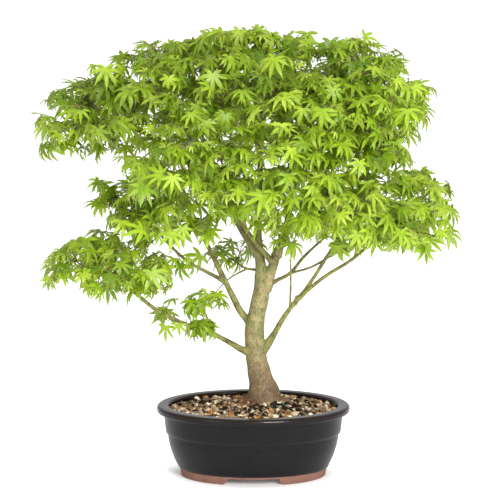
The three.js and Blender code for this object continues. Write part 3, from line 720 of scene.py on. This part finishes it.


# ---- Grit ----

# Each colour and how common it is. The last is the dark one: partly dark soil and bark chips, partly painted
# shade that stands for the shadowed gaps between the stones.
GRIT_COLOURS = [
    ((0.85, 0.62, 0.37), 26),
    ((0.48, 0.29, 0.14), 20),
    ((0.52, 0.21, 0.055), 10),
    ((0.25, 0.2, 0.145), 18),
    ((1.0, 0.9, 0.7), 17),
    ((0.022, 0.010, 0.005), 34),
]
STONE_COUNT = 2200
STONE_SIZE = (1.5, 4.6, 2.5)  # least, most and likeliest half width in millimetres
STONE_LEVELS = (-3.2, -0.2)  # of the lowest and highest stones' middles from the ground, in millimetres
STONE_FIELD = (0.12, 0.095)  # half the length and width of the patch where places are tried
TRUNK_CLEARANCE = 19 * MM
DARK_PATCH = (30 * MM, 8 * MM, 34 * MM)  # x, y and radius
PELLETS = ((42 * MM, -6 * MM), (38 * MM, 0), (31 * MM, -12 * MM))
PELLET_RADIUS = 1.5 * MM
PELLET_COLOUR = (0.02, 0.30, 0.22)


def stone_template():
    """A ball of 80 triangles that every stone is shaped from."""
    ball = bmesh.new()
    bmesh.ops.create_icosphere(ball, subdivisions=2, radius=1.0)
    mesh = bpy.data.meshes.new("stone")
    ball.to_mesh(mesh)
    ball.free()
    places = places_of(mesh).astype(float)
    faces = np.array([list(face.vertices) for face in mesh.polygons])
    return places, faces


def facet_layout(count):
    """Each of count triangles laid out in its own small square, two to a square."""
    across = math.ceil(math.sqrt(count / 2))
    layout = []
    for i in range(count):
        square, upper = divmod(i, 2)
        column, row = square % across, square // across
        corners = [(0.06, 0.06), (0.86, 0.06), (0.06, 0.86)]
        if upper:
            corners = [(1 - u, 1 - v) for u, v in corners]
        layout.append([((column + u) / across, (row + v) / across) for u, v in corners])
    return np.array(layout)


class Pile:
    """Collects many small triangle pieces into one mesh, each with its own cell of the bake layout."""

    def __init__(self):
        self.places, self.faces, self.cells, self.tints = [], [], [], []
        self.blades, self.kinds = [], []
        self.cell, self.strip, self.count = 0, 0, 0

    def add(self, places, faces, layout, tint, blade=None, kind=0, cell=None):
        if cell is None:
            cell = self.next_cell()
        self.faces.append(faces + self.count)
        self.places.append(places)
        self.cells.append((cell, layout))
        self.tints.append(np.broadcast_to(tint, (len(places), 3)))
        self.blades.append(np.zeros((len(places), 3)) if blade is None else blade)
        self.kinds.append(np.full(len(faces), kind, np.int32))
        self.count += len(places)

    def next_cell(self):
        self.cell += 1
        return self.cell - 1

    def add_tube(self, places, faces, along, tint, kind=1, strips=6):
        """A tube takes one narrow strip of a cell."""
        if self.strip % strips == 0:
            self.strip_cell = self.next_cell()
        row = self.strip % strips
        self.strip += 1
        layout = np.stack([along[..., 0], (row + 0.1 + 0.8 * along[..., 1]) / strips], axis=-1)
        self.add(places, faces, layout, tint, kind=kind, cell=self.strip_cell)

    def mesh(self, name, *materials):
        made = triangle_mesh(name, np.vstack(self.places), np.vstack(self.faces))
        across = math.ceil(math.sqrt(self.cell))
        layouts = []
        for cell, layout in self.cells:
            corner = np.array([cell % across, cell // across])
            layouts.append((corner + 0.05 + 0.9 * layout) / across)
        bake_map = made.uv_layers.new(name="OFBake")
        bake_map.data.foreach_set("uv", np.vstack(layouts).astype(np.float32).ravel())
        write_tint(made, np.vstack(self.tints))
        blade = made.attributes.new("blade", "FLOAT_VECTOR", "POINT")
        blade.data.foreach_set("vector", np.vstack(self.blades).astype(np.float32).ravel())
        for material in materials:
            made.materials.append(material)
        made.polygons.foreach_set("material_index", np.concatenate(self.kinds))
        return made


def inside_oval(x, y, margin):
    half = inner_wall_at(RIM_LEVEL - GRIT_BELOW_LIP) - margin
    return (x / half) ** 2 + (y / (half - OVAL_DIFFERENCE)) ** 2 < 1


def stone_colour(x, y):
    colours, weights = zip(*GRIT_COLOURS)
    weights = list(weights)
    middle_x, middle_y, radius = DARK_PATCH
    if math.hypot(x - middle_x, y - middle_y) < radius:
        weights[-1] *= 4
    colour = random.choices(colours, weights)[0]
    return np.array(colour) * random.uniform(0.52, 1.16)


def stone_spots():
    """Where the stones lie, from the pot's middle, and their sizes."""
    spots = []
    while len(spots) < STONE_COUNT:
        x, y = (random.uniform(-half, half) for half in STONE_FIELD)
        size = random.triangular(*STONE_SIZE) * MM
        if not inside_oval(x, y, size * 0.8):
            continue
        if math.hypot(x - FLARE_X, (y - TRUNK_BACK) * 1.1) < TRUNK_CLEARANCE:
            continue
        spots.append((x, y, size))
    return spots


def stone_shape(ball, index):
    """The places of a squarish, lumpy stone about two units wide, made from the ball, and a random turn."""
    stretch = np.array([random.uniform(0.8, 1.25), random.uniform(0.75, 1.1), random.uniform(0.6, 0.85)])
    seed = Vector((index * 1.7, index * 0.3, 0))
    bumps = np.array([1 + 0.4 * noise.noise(Vector(p) * 1.4 + seed) for p in ball])
    turn = Matrix.Rotation(random.uniform(0, 6.28), 3, Vector((random.random(), random.random(), 1)))
    squarish = np.sign(ball) * np.abs(ball) ** 0.62
    return squarish * bumps[:, None] * stretch, np.array(turn.to_3x3()).T


def make_grit():
    ball, faces = stone_template()
    layout = facet_layout(len(faces))
    pile = Pile()
    spots = stone_spots()
    lowest, highest = STONE_LEVELS
    for index, (x, y, size) in enumerate(spots):
        layer = index / len(spots)
        shape, turn = stone_shape(ball, index)
        level = ground_height(x, y) + (lowest + (highest - lowest) * layer) * MM
        centre = np.array([POT_MIDDLE.x + x, POT_MIDDLE.y + y, level])
        # Painted shade: stones lower in the layer are painted darker, down to about a third, for the shade
        # between the stones above them.
        painted_layer_shade = 0.35 + 0.65 * min(1, layer / 0.6)
        pile.add(shape * size @ turn + centre, faces, layout, stone_colour(x, y) * painted_layer_shade)
    for x, y in PELLETS:
        centre = np.array([POT_MIDDLE.x + x, POT_MIDDLE.y + y, ground_height(x, y) + PELLET_RADIUS])
        pile.add(ball * PELLET_RADIUS + centre, faces, layout, PELLET_COLOUR)
    mesh = pile.mesh("grit_stones", stone_look())
    finished(new_object("grit_stones", mesh), "grit", "grit_layer")


# ---- Wood ----

def limb_tube(points, step, sides, collar=False):
    """A limb's centres, radii and count of sides. A bough has a collar, and is slimmer than the CAD one."""
    rows = smooth_curve(points, step)
    centres = np.array([tree_place(row) for row in rows])
    radii = rows[:, 3] * MM * (BOUGH_SLIMNESS if collar else 1)
    travelled = np.concatenate([[0], np.cumsum(np.linalg.norm(np.diff(centres, axis=0), axis=1))])
    if collar:
        radii = radii * (1 + COLLAR_SWELL * np.exp(-(travelled / (COLLAR_LENGTH * radii[0])) ** 2))
    wobble = [1 + 0.07 * noise.noise(Vector(c) * 55) for c in centres]
    return centres, radii * wobble, sides


def surface_root(index):
    """A fine root that leaves the trunk's foot on the left and lies along the ground."""
    turn = math.radians(random.uniform(*ROOT_TURN))
    reach = random.uniform(*ROOT_REACH)
    points = []
    for i in range(6):
        t = i / 5
        out = ROOT_START + reach * t
        bend = turn + 0.35 * math.sin(3 * t + index) * t
        x, y = FLARE_X / MM + out * math.cos(bend), TRUNK_BACK / MM + out * math.sin(bend)
        z = (ground_height(x * MM, y * MM) - GROUND) / MM + 2.2 - 2.5 * t + random.uniform(-0.5, 0.8)
        points.append([x, y - TRUNK_BACK / MM, z, 2.0 - 1.3 * t])
    return points


def make_wood():
    limbs = [limb_tube(TRUNK, 3, 20)]
    limbs += [limb_tube(points, 3, 12) for points in ROOTS]
    limbs += [limb_tube(points, 3, 12, collar=True) for points in BOUGHS]
    limbs += [limb_tube(STUB, 1.5, 12)]
    limbs += [limb_tube(surface_root(i), 2, 6) for i in range(SURFACE_ROOTS)]
    wood = merged_limbs(limbs)
    girth, rootlet = nearest_limb(wood.data, limbs)
    roughen_bark(wood.data, girth)
    write_number(wood.data, "girth", girth)
    write_number(wood.data, "rootlet", rootlet)
    smooth_shaded(wood.data)
    paint(wood.data, bark_look())
    finished(wood, "bark", "trunk_and_boughs")


def merged_limbs(limbs):
    """The limbs' tubes grown together into one skin."""
    places, faces, start = [], [], 0
    for centres, radii, sides in limbs:
        made, triangles, _ = tube(centres, radii, sides)
        places.append(made)
        faces.append(triangles + start)
        start += len(made)
    wood = new_object("tree_wood", triangle_mesh("tree_wood", np.vstack(places), np.vstack(faces)))
    return with_modifiers(
        wood,
        ("REMESH", {"mode": "VOXEL", "voxel_size": 0.85 * MM}),
        ("SMOOTH", {"factor": 0.5, "iterations": 4}),
        ("DECIMATE", {"ratio": 0.54}),
    )


def nearest_limb(mesh, limbs):
    """For each vertex, the girth of the limb it belongs to, and 1 where that is a surface root."""
    centre_tree = kdtree.KDTree(sum(len(centres) for centres, _, _ in limbs))
    girths, rootlets = [], []
    for index, (centres, radii, _) in enumerate(limbs):
        for centre, radius in zip(centres, radii):
            centre_tree.insert(centre, len(girths))
            girths.append(radius)
            rootlets.append(index >= len(limbs) - SURFACE_ROOTS)
    centre_tree.balance()
    found = [centre_tree.find(v.co)[1:] for v in mesh.vertices]
    girth = np.array([girths[index] for index, _ in found])
    rootlet = [float(rootlets[index] and away < girths[index] + ROOTLET_MARGIN) for index, away in found]
    return girth, rootlet


def roughen_bark(mesh, girth):
    """Swellings and fine ridges along the wood, larger where it is thicker."""
    normals = np.empty(3 * len(mesh.vertices), np.float32)
    mesh.vertex_normals.foreach_get("vector", normals)
    normals = normals.reshape(-1, 3)
    places = places_of(mesh)
    lift = []
    for place, thick in zip(places, girth):
        p = Vector(place)
        swell = noise.noise(p * 48)
        ridge = noise.noise(Vector((p.x * 520, p.y * 520, p.z * 120)))
        lift.append(min(thick * 0.07, 1.1 * MM) * swell + min(thick * 0.03, 0.32 * MM) * ridge)
    write_places(mesh, places + normals * np.array(lift)[:, None])


# ---- Leaves ----

LEAF_ROWS = [0.26, 0.42, 0.62, 0.82]  # how far out along a lobe its rows lie
LEAF_WIDTHS = [0.0, 0.098, 0.086, 0.036]  # half widths there, past the notch
NOTCH = 0.22  # how far out the notches between the lobes lie
BASE_NOTCH = 0.09  # and those beside the stalk
BASE_TURN = 38  # degrees from the last lobe
LEAF_HALF_THICKNESS = 0.0055

# The lobes to one side of the middle one, for each count: angle from it in degrees, and length.
SIDE_LOBES = {7: [(37, 0.94), (75, 0.78), (118, 0.46)], 5: [(43, 0.88), (90, 0.6)]}


def leaf_lobes(count):
    """Angle from the middle lobe and length of each lobe, from one side to the other, a little uneven."""
    one_side = SIDE_LOBES[count]
    lobes = sorted([(0, 1.0)] + one_side + [(-a, length) for a, length in one_side])
    return [(a + random.uniform(-4, 4), length * random.uniform(0.93, 1.05)) for a, length in lobes]


def leaf_template(count, curl, fold):
    """A closed, thin leaf one unit long whose stalk joins at the origin. Returns places, triangles, their
    flat layout, each vertex's (distance out, distance from the midrib, 0), and 1 where it is underneath."""
    flat, blade, height = [], [], []

    def bend(r):
        """Where a point lies along its curling lobe, and how far it has drooped."""
        reach, drop, steps = 0.0, 0.0, 12
        for i in range(steps):
            pitch = curl * (r * (i + 0.5) / steps) ** 1.25
            reach += math.cos(pitch) * r / steps
            drop -= math.sin(pitch) * r / steps
        return reach, drop

    def point(angle, r, side, out, across):
        a = math.radians(angle)
        forward, sideways = (math.sin(a), math.cos(a)), (math.cos(a), -math.sin(a))
        reach, drop = bend(r)
        x = forward[0] * reach + sideways[0] * side
        y = forward[1] * reach + sideways[1] * side
        flat.append((forward[0] * r + sideways[0] * side, forward[1] * r + sideways[1] * side))
        height.append((x, y, drop + fold * abs(side) + random.uniform(-0.008, 0.008)))
        blade.append((out, across))
        return len(flat) - 1

    lobes = leaf_lobes(count)
    middle = point(0, 0, 0, 0, 0)
    notches = []
    for (a, _), (b, _) in zip(lobes, lobes[1:]):
        notches.append(point((a + b) / 2, NOTCH, 0, 0.3, 1))
    first = point(lobes[0][0] - BASE_TURN, BASE_NOTCH, 0, 0.15, 1)
    last = point(lobes[-1][0] + BASE_TURN, BASE_NOTCH, 0, 0.15, 1)
    notches = [first] + notches + [last]
    triangles, rims = [], set(notches)
    for index, (angle, length) in enumerate(lobes):
        left, right = notches[index], notches[index + 1]
        slim = 0.6 + 0.4 * length
        middle_row = point(angle, LEAF_ROWS[0] * length, 0, LEAF_ROWS[0], 0)
        triangles += [(middle, right, middle_row), (middle, middle_row, left)]
        for row, width in zip(LEAF_ROWS[1:], LEAF_WIDTHS[1:]):
            new_middle = point(angle, row * length, 0, row, 0)
            new_left = point(angle, row * length, -width * slim, row, 1)
            new_right = point(angle, row * length, width * slim, row, 1)
            rims |= {new_left, new_right}
            triangles += [(middle_row, right, new_right), (middle_row, new_right, new_middle)]
            triangles += [(middle_row, new_middle, new_left), (middle_row, new_left, left)]
            middle_row, left, right = new_middle, new_left, new_right
        tip = point(angle, length, 0, 1, 0.5)
        rims.add(tip)
        triangles += [(middle_row, right, tip), (middle_row, tip, left)]
    return closed_leaf(np.array(flat), np.array(height), np.array(blade), np.array(triangles), rims)


def closed_leaf(flat, places, blade, triangles, rims):
    """The upper and lower faces share the leaf's edge, and lie apart inside it."""
    below = np.arange(len(flat))
    inner = [i for i in range(len(flat)) if i not in rims]
    below[inner] = len(flat) + np.arange(len(inner))
    upper = places.copy()
    upper[inner, 2] += LEAF_HALF_THICKNESS
    lower = places[inner] - (0, 0, LEAF_HALF_THICKNESS)
    all_places = np.vstack([upper, lower])
    all_faces = np.vstack([triangles, below[triangles][:, ::-1]])
    extent = flat.max(axis=0) - flat.min(axis=0)
    square = (flat - flat.min(axis=0)) / extent.max()
    half_cell = np.array([0.48, 0.96])
    layout = np.vstack([square[triangles] * half_cell, square[triangles[:, ::-1]] * half_cell + (0.52, 0)])
    details = np.zeros((len(all_places), 3))
    details[:len(flat), :2] = blade
    details[len(flat):, :2] = blade[inner]
    underside = np.zeros(len(all_places))
    underside[len(flat):] = 1
    return all_places, all_faces, layout, details, underside


# How many lobes, how far they curl down in radians, and how steeply each folds up along its midrib.
LEAF_KINDS = [
    (7, 0.3, 0.2), (7, 0.7, 0.3), (7, 1.1, 0.45), (7, 1.8, 0.5),
    (5, 0.5, 0.25), (5, 1.0, 0.4), (7, 0.9, 0.55), (5, 1.5, 0.45),
]


def leaf_variants():
    random.seed(5)
    return [leaf_template(count, curl, fold) for count, curl, fold in LEAF_KINDS]


YOUNG = 0.8  # the freshness past which a leaf is small and new
LEAF_LENGTH = (20 * MM, 33 * MM)
NEW_LEAF_LENGTH = (13 * MM, 21 * MM)
STALK_LENGTH = (9 * MM, 20 * MM)
STALK_RADIUS = 0.5 * MM
LEAF_ROLL = 0.6  # how unevenly the blades lean sideways
OLD_GREEN = np.array([0.12, 0.215, 0.008])
MID_GREEN = np.array([0.27, 0.42, 0.014])
MID_FRESHNESS = 0.35  # at which a leaf has the middle green
NEW_GREEN = np.array([0.43, 0.59, 0.05])
PALE_GREEN = np.array([0.36, 0.45, 0.09])
TWIG_BROWN = np.array([0.075, 0.04, 0.022])
TWIG_GREEN = np.array([0.16, 0.17, 0.05])


def axes_of(forward, normal):
    """Columns right, forward and up of a leaf that points along forward and faces normal."""
    forward = forward.normalized()
    right = forward.cross(normal).normalized()
    return np.array([right, forward, right.cross(forward)]).T


def add_leaf(pile, variants, root, heading, pitch, freshness, painted_crown_shade):
    """A leaf and its stalk at root, unless they would reach too far. Heading is its direction in plan, in
    radians, and pitch how far it hangs, in degrees."""
    young = freshness > YOUNG
    length = random.uniform(*(NEW_LEAF_LENGTH if young else LEAF_LENGTH))
    outward = Vector((math.cos(heading), math.sin(heading), 0))
    rise = random.uniform(0.15, 0.75)
    stalk = (outward + UP * rise).normalized() * random.uniform(*STALK_LENGTH) * (0.6 if young else 1)
    join = root + stalk + UP * random.uniform(-2, 1) * MM
    elbow = root + stalk * 0.55 + UP * 1.5 * MM
    rows = smooth_curve([[*root, 1], [*elbow, 1], [*join, 1]], 7 * MM)
    radii = np.full(len(rows), STALK_RADIUS * (0.7 if young else 1))
    green = random.random() < 0.7
    tilt = math.radians(pitch)
    forward = outward * math.cos(tilt) - UP * math.sin(tilt)
    normal = UP * math.cos(tilt) + outward * math.sin(tilt)
    sideways = outward.cross(UP)
    normal = (normal + sideways * random.gauss(0, LEAF_ROLL)).normalized()
    places, faces, layout, details, underside = random.choice(variants)
    turned = places * length @ axes_of(forward, normal).T + np.array(join)
    if (turned < GROWTH_LOW).any() or (turned > GROWTH_HIGH).any():
        return
    pile.add_tube(*tube(rows[:, :3], radii, 4), (TWIG_GREEN * 1.6 if green else TWIG_BROWN * 2.2))
    tint = MID_GREEN + (NEW_GREEN - MID_GREEN) * max(0, freshness - MID_FRESHNESS) / (1 - MID_FRESHNESS)
    tint = tint + (OLD_GREEN - MID_GREEN) * max(0, MID_FRESHNESS - freshness) / MID_FRESHNESS
    # Painted shade: the leaf is darkened by its cloud's painted shade, on both faces.
    tint = tint * random.uniform(0.85, 1.12) * painted_crown_shade
    tints = tint + (PALE_GREEN * painted_crown_shade - tint) * 0.55 * underside[:, None]
    pile.add(turned, faces, layout, tints, details)


# ---- Twigs: each spray grows from the boughs that reach it towards points spread through its cloud ----

SHOOT_TRIES = 9000  # random points tried in each cloud
SHOOT_SPACING = 30 * MM
# The spacing in the clouds that are closer or more open, by the first word after "foliage".
CLOUD_SPACING = {"lower": 28.5 * MM, "middle": 29.5 * MM, "right": 33 * MM, "inner": 38 * MM, "back": 43 * MM}
SHOOT_DEPTH = (7 * MM, 34 * MM)  # the least depth below a cloud's skin, and where its middle begins
HANGING_DEPTH = 3 * MM  # the least depth above a cloud's underside
UNDERSIDE = -0.3  # the skin belongs to the underside where its normal points down more than this
INNER_SHARE = 0.02  # how often a point in the middle of a cloud is kept
UNDER_SHARE = 0.7  # how often a point on its underside is kept
HANGING_NORMAL = (0, -0.6, -0.8)
TWIG_STEP = 9 * MM
TWIG_RADIUS = 0.55 * MM
TWIG_THICKENING = 0.42  # the power of the count of tips by which a twig is thicker
PATH_COST = 0.32  # how much the length of a twig behind a point counts against joining it there
BOUGH_REACH = 12 * MM  # how far outside a cloud's box its boughs may lie

# Painted shade: the share of their own colour that the leaves of a cloud keep, where that cloud is painted
# darker than elsewhere.
CLOUD_PAINTED_SHADE = {
    "foliage_upper_left": 0.78, "foliage_top_left": 0.88, "foliage_top": 0.92, "foliage_lower_left": 0.9,
    "foliage_inner_left": 0.85, "foliage_inner_back": 0.7, "foliage_back": 0.85, "foliage_back_left": 0.85,
}

# Where no shoots grow, seen from the front: [x, height above the ground, radius] in millimetres.
CLEARINGS = [
    [-140, 492, 32], [-187, 464, 25], [-228, 446, 34], [-290, 326, 18], [62, 505, 34], [226, 450, 40],
    [229, 338, 40], [-200, 239, 26], [-240, 246, 26], [274, 241, 25], [-150, 105, 20], [-128, 98, 20],
    [-95, 84, 16], [-28, 112, 18], [-40, 140, 12],
]

# Single shoots placed between the boughs and along the crown's edge, by the cloud that carries them:
# [x, y, height above the ground] in millimetres.
LOOSE_SHOOTS = {
    "foliage_front": [
        [-50, -60, 240], [-30, -50, 258], [-58, -52, 228], [22, -60, 240], [24, -48, 222], [44, -50, 232],
        [41, -44, 210],
    ],
    "foliage_lower_left": [
        [-140, -40, 160], [-122, -36, 154], [-184, -46, 156], [-168, -44, 152], [-208, -40, 212],
        [-196, -40, 216],
    ],
    "foliage_inner_left": [[-65, -22, 98], [-66, -22, 132]],
    "foliage_upper_left": [[-240, -6, 338], [-215, -10, 332], [-190, -8, 332], [-165, -8, 332]],
    "foliage_top": [[22, 0, 477], [8, -8, 480], [-8, 0, 481]],
    "foliage_top_right": [[98, -6, 467], [112, -10, 474], [128, -8, 469], [172, -4, 457]],
    "foliage_inner_back": [[-22, 44, 178], [-12, 40, 196]],
    "foliage_middle_left": [[-90, -14, 176], [-102, -20, 226], [-192, -20, 288], [-184, -24, 276]],
    "foliage_lower_right": [
        [168, -45, 213], [184, -40, 216], [120, -30, 204], [206, -20, 296], [222, -20, 290], [238, -22, 280],
    ],
}


def cloud_surface(node):
    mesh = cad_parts[node].data
    return BVHTree.FromPolygons([v.co[:] for v in mesh.vertices], [list(p.vertices) for p in mesh.polygons])


def shoot_tips(node):
    """Points spread through a foliage cloud, mostly near its skin and seldom on its underside."""
    surface = cloud_surface(node)
    low, high = (Vector(corner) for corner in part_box(node))
    spacing = CLOUD_SPACING.get(node.split("_")[1], SHOOT_SPACING)
    tips = []
    for _ in range(SHOOT_TRIES):
        place = Vector(random.uniform(low[i], high[i]) for i in range(3))
        nearest, normal, _, depth = surface.find_nearest(place)
        least = HANGING_DEPTH if normal.z < UNDERSIDE else SHOOT_DEPTH[0]
        if (place - nearest).dot(normal) > 0 or depth < least:
            continue
        keep = 1.0 if depth < SHOOT_DEPTH[1] else INNER_SHARE
        if normal.z < UNDERSIDE:
            keep *= UNDER_SHARE
        if random.random() > keep or in_clearing(place):
            continue
        if all((place - other).length > spacing for other, _ in tips):
            tips.append((place, normal.copy()))
    for row in LOOSE_SHOOTS.get(node, []):
        tips.append((tree_place(row), Vector(HANGING_NORMAL)))
    return tips


def in_clearing(place):
    x, z = place.x - TREE_FOOT.x, place.z - TREE_FOOT.z
    return any(math.hypot(x - a * MM, z - b * MM) < radius * MM for a, b, radius in CLEARINGS)


def bough_nodes():
    """Every bough as points about a twig step apart, with each point's radius."""
    nodes = []
    for points in BOUGHS:
        for row in smooth_curve(points, TWIG_STEP / MM)[2:]:
            nodes.append((tree_place(row), row[3] * MM))
    return nodes


def grow(tips, seeds):
    """Joins each tip to the nearest wood or twig, nearest tips first. Returns every place, the index of its
    parent, and each tip's index and normal."""
    places = [place for place, _ in seeds]
    parents = [-1] * len(places)
    paths = [0.0] * len(places)
    ends = []
    for target, normal in sorted(tips, key=lambda tip: min((tip[0] - place).length for place, _ in seeds)):
        costs = [(target - place).length + PATH_COST * path for place, path in zip(places, paths)]
        at = min(range(len(costs)), key=costs.__getitem__)
        start = places[at]
        gap = (target - start).length
        count = max(1, round(gap / TWIG_STEP))
        arch = UP * gap * random.uniform(0.03, 0.14)
        sway = Vector((random.uniform(-1, 1), random.uniform(-1, 1), 0)) * gap * 0.07
        for k in range(1, count + 1):
            t = k / count
            place = start.lerp(target, t) + (arch + sway) * math.sin(math.pi * t)
            if k < count:
                place += Vector(random.uniform(-1, 1) for _ in range(3)) * 0.9 * MM
            places.append(place)
            parents.append(at)
            paths.append(paths[at] + gap / count)
            at = len(places) - 1
        ends.append((at, normal))
    return places, parents, ends


def twig_lines(places, parents, ends, seed_count):
    """Each twig from its tip back to the wood that carries it, thicker where it carries more tips."""
    load = [0] * len(places)
    for end, _ in ends:
        at = end
        while at >= seed_count:
            load[at] += 1
            at = parents[at]
    used = set()
    for end, normal in ends:
        line = [end]
        while line[-1] >= seed_count and line[-1] not in used:
            used.add(line[-1])
            line.append(parents[line[-1]])
        line.reverse()
        loads = [load[i] for i in line]
        loads[0] = loads[1] if len(loads) > 1 else 1
        yield [places[i] for i in line], [TWIG_RADIUS * n ** TWIG_THICKENING for n in loads], normal


def add_shoot(pile, variants, line, normal, painted_cloud_shade):
    """Leaves in pairs along the last stretch of a twig, and often a new leaf at its tip."""
    tip = line[-1]
    direction = tip - line[max(0, len(line) - 4)]
    outward = Vector((tip.x - TREE_FOOT.x, tip.y - TREE_FOOT.y, 0)).normalized()
    plan = Vector((direction.x, direction.y, 0)) + outward * 0.012 + Vector((normal.x, normal.y, 0)) * 0.012
    heading = math.atan2(plan.y, plan.x)
    height_share = min(max((tip.z - GROUND) / (CAD_BOX[1][2] - GROUND), 0), 1)
    upward = max(normal.z, 0)
    freshness = random.gauss(0.36, 0.13) - 0.1 * height_share * upward
    for pair in range(random.choice((2, 2, 3))):
        at = line[max(0, len(line) - 1 - pair)] if pair else tip
        spread = math.radians(random.uniform(28, 50) if pair == 0 else random.uniform(55, 95))
        for side in (-1, 1):
            if random.random() < 0.08:
                continue
            pitch = random.gauss(9 + 32 * (1 - upward) + 22 * max(-normal.z, 0), 21)
            fresh = min(1, max(0, random.gauss(freshness, 0.15)))
            # Painted light and shade: the cloud's painted shade, and leaves where the cloud's skin faces
            # upwards painted up to a tenth lighter.
            shade = painted_cloud_shade * (0.9 + 0.1 * upward)
            turned = heading + side * spread + random.gauss(0, 0.5)
            add_leaf(pile, variants, at, turned, pitch, fresh, shade)
    if random.random() < 0.45:
        turned = heading + random.gauss(0, 0.4)
        add_leaf(pile, variants, tip, turned, random.uniform(-15, 40), 0.9, painted_cloud_shade)


def make_foliage():
    variants = leaf_variants()
    random.seed(23)
    wood = bough_nodes()
    leaf, twig = leaf_look(), twig_look()
    for name in sorted(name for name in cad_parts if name.startswith("foliage_")):
        tips = shoot_tips(name)
        room = Vector((BOUGH_REACH,) * 3)
        low, high = (Vector(corner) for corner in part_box(name))
        low, high = low - room, high + room
        seeds = [n for n in wood if all(low[i] < n[0][i] < high[i] for i in range(3))]
        pile = Pile()
        places, parents, ends = grow(tips, seeds)
        for line, radii, normal in twig_lines(places, parents, ends, len(seeds)):
            centres = np.array([list(place) for place in line])
            if len(line) > 1:
                pile.add_tube(*tube(centres, np.array(radii), 5), TWIG_BROWN * random.uniform(0.8, 1.6))
            add_shoot(pile, variants, line, normal, CLOUD_PAINTED_SHADE.get(name, 1))
        mesh = pile.mesh(name.replace("foliage", "leaves"), leaf, twig)
        smooth_shaded(mesh, 60)
        finished(new_object(name.replace("foliage", "leaves"), mesh), "leaf", name)


# ---- Fittings that the CAD model already shapes ----

def dress_fittings():
    plastic = plain_look("black_plastic", (0.015, 0.015, 0.016), 0.55, 700)
    wire = plain_look("copper_wire", (0.32, 0.16, 0.08), 0.35, 900, metal=0.9)
    for name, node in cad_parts.items():
        if name.startswith("drain_screen"):
            paint(node.data, plastic)
        if name.startswith("screen_clip"):
            paint(node.data, wire)


# ---- Studio ----

CAMERA_ELEVATION = 9.24
CAMERA_DISTANCE = 4.053
FRAME_WIDTH = 0.6524  # what the picture spans at the tree
AIM = Vector((POT_MIDDLE.x - 0.0044, POT_MIDDLE.y, 0.2993))

AMBIENT = 0.5
FLOOR_HALF = 60
FLOOR_GLOW = (0.1, 0.75)  # under the pot, and away from it
GLOW_REACH = (0.074, 0.1)  # where it begins to rise and where it is full, from the pot's middle
GLOW_OVAL = (0.78, 1, 1)  # how lengths are shrunk so that the glow's edge is as oval as the pot
# Each soft light: name, place, size and power.
LIGHTS = [
    ("key_light", (1.1, -3.0, 1.5), 1.1, 132),
    ("fill_light", (-2.0, -2.4, 0.9), 1.3, 14),
    ("top_light", (0.1, 0.2, 2.6), 1.6, 14),
]


def make_studio():
    mesh = bpy.data.meshes.new("floor")
    corners = [(x * FLOOR_HALF, y * FLOOR_HALF, 0) for x, y in ((-1, -1), (1, -1), (1, 1), (-1, 1))]
    mesh.from_pydata(corners, [], [(0, 1, 2, 3)])
    floor = new_object("floor", mesh)
    look = Look("floor", Base_Color=(0.9, 0.9, 0.9, 1), Roughness=0.9, Specular_IOR_Level=0.0)
    look.shader.inputs["Emission Color"].default_value = (1, 1, 1, 1)
    centre = (POT_MIDDLE.x * GLOW_OVAL[0], POT_MIDDLE.y, 0)
    away = look.node("VectorMath", {0: look.place(GLOW_OVAL), 1: centre}, operation="DISTANCE")
    glow = look.ramp(away.outputs["Value"], *GLOW_REACH, *FLOOR_GLOW)
    look.links.new(glow, look.shader.inputs["Emission Strength"])
    mesh.materials.append(look.material)
    floor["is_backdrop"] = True
    make_world()
    for name, place, size, power in LIGHTS:
        soft_light(name, place, size, power)
    bpy.context.scene.view_settings.view_transform = "Standard"


def make_world():
    """White where it is seen, and dimmer as a light, so that the lamps shape the tree."""
    world = bpy.data.worlds.new("studio")
    world.use_nodes = True
    nodes, links = world.node_tree.nodes, world.node_tree.links
    seen = nodes.new("ShaderNodeLightPath")
    strength = nodes.new("ShaderNodeMapRange")
    strength.inputs["To Min"].default_value = AMBIENT
    strength.inputs["To Max"].default_value = 1.0
    links.new(seen.outputs["Is Camera Ray"], strength.inputs["Value"])
    background = nodes["Background"]
    background.inputs["Color"].default_value = (1, 1, 1, 1)
    links.new(strength.outputs["Result"], background.inputs["Strength"])
    bpy.context.scene.world = world


def soft_light(name, place, size, power):
    light = bpy.data.lights.new(name, "AREA")
    light.shape = "SQUARE"
    light.size = size
    light.energy = power
    made = bpy.data.objects.new(name, light)
    made.location = place
    made.rotation_euler = (Vector((0, 0, 0.3)) - Vector(place)).to_track_quat("-Z", "Y").to_euler()
    bpy.context.scene.collection.objects.link(made)


def make_camera():
    camera = bpy.data.cameras.new("camera")
    camera.sensor_width = 36
    camera.lens = camera.sensor_width * CAMERA_DISTANCE / FRAME_WIDTH
    camera.clip_end = 100
    made = bpy.data.objects.new("camera", camera)
    tilt = math.radians(CAMERA_ELEVATION)
    away = Vector((0, -math.cos(tilt), math.sin(tilt)))
    made.location = AIM + away * CAMERA_DISTANCE
    made.rotation_euler = (-away).to_track_quat("-Z", "Y").to_euler()
    bpy.context.scene.collection.objects.link(made)
    bpy.context.scene.camera = made


make_camera()
make_studio()
make_pot()
make_soil()
make_grit()
make_wood()
make_foliage()
dress_fittings()

boxes = {"cad": CAD_BOX, "visual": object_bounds()}
{name: [[float(x) for x in corner] for corner in box] for name, box in boxes.items()}
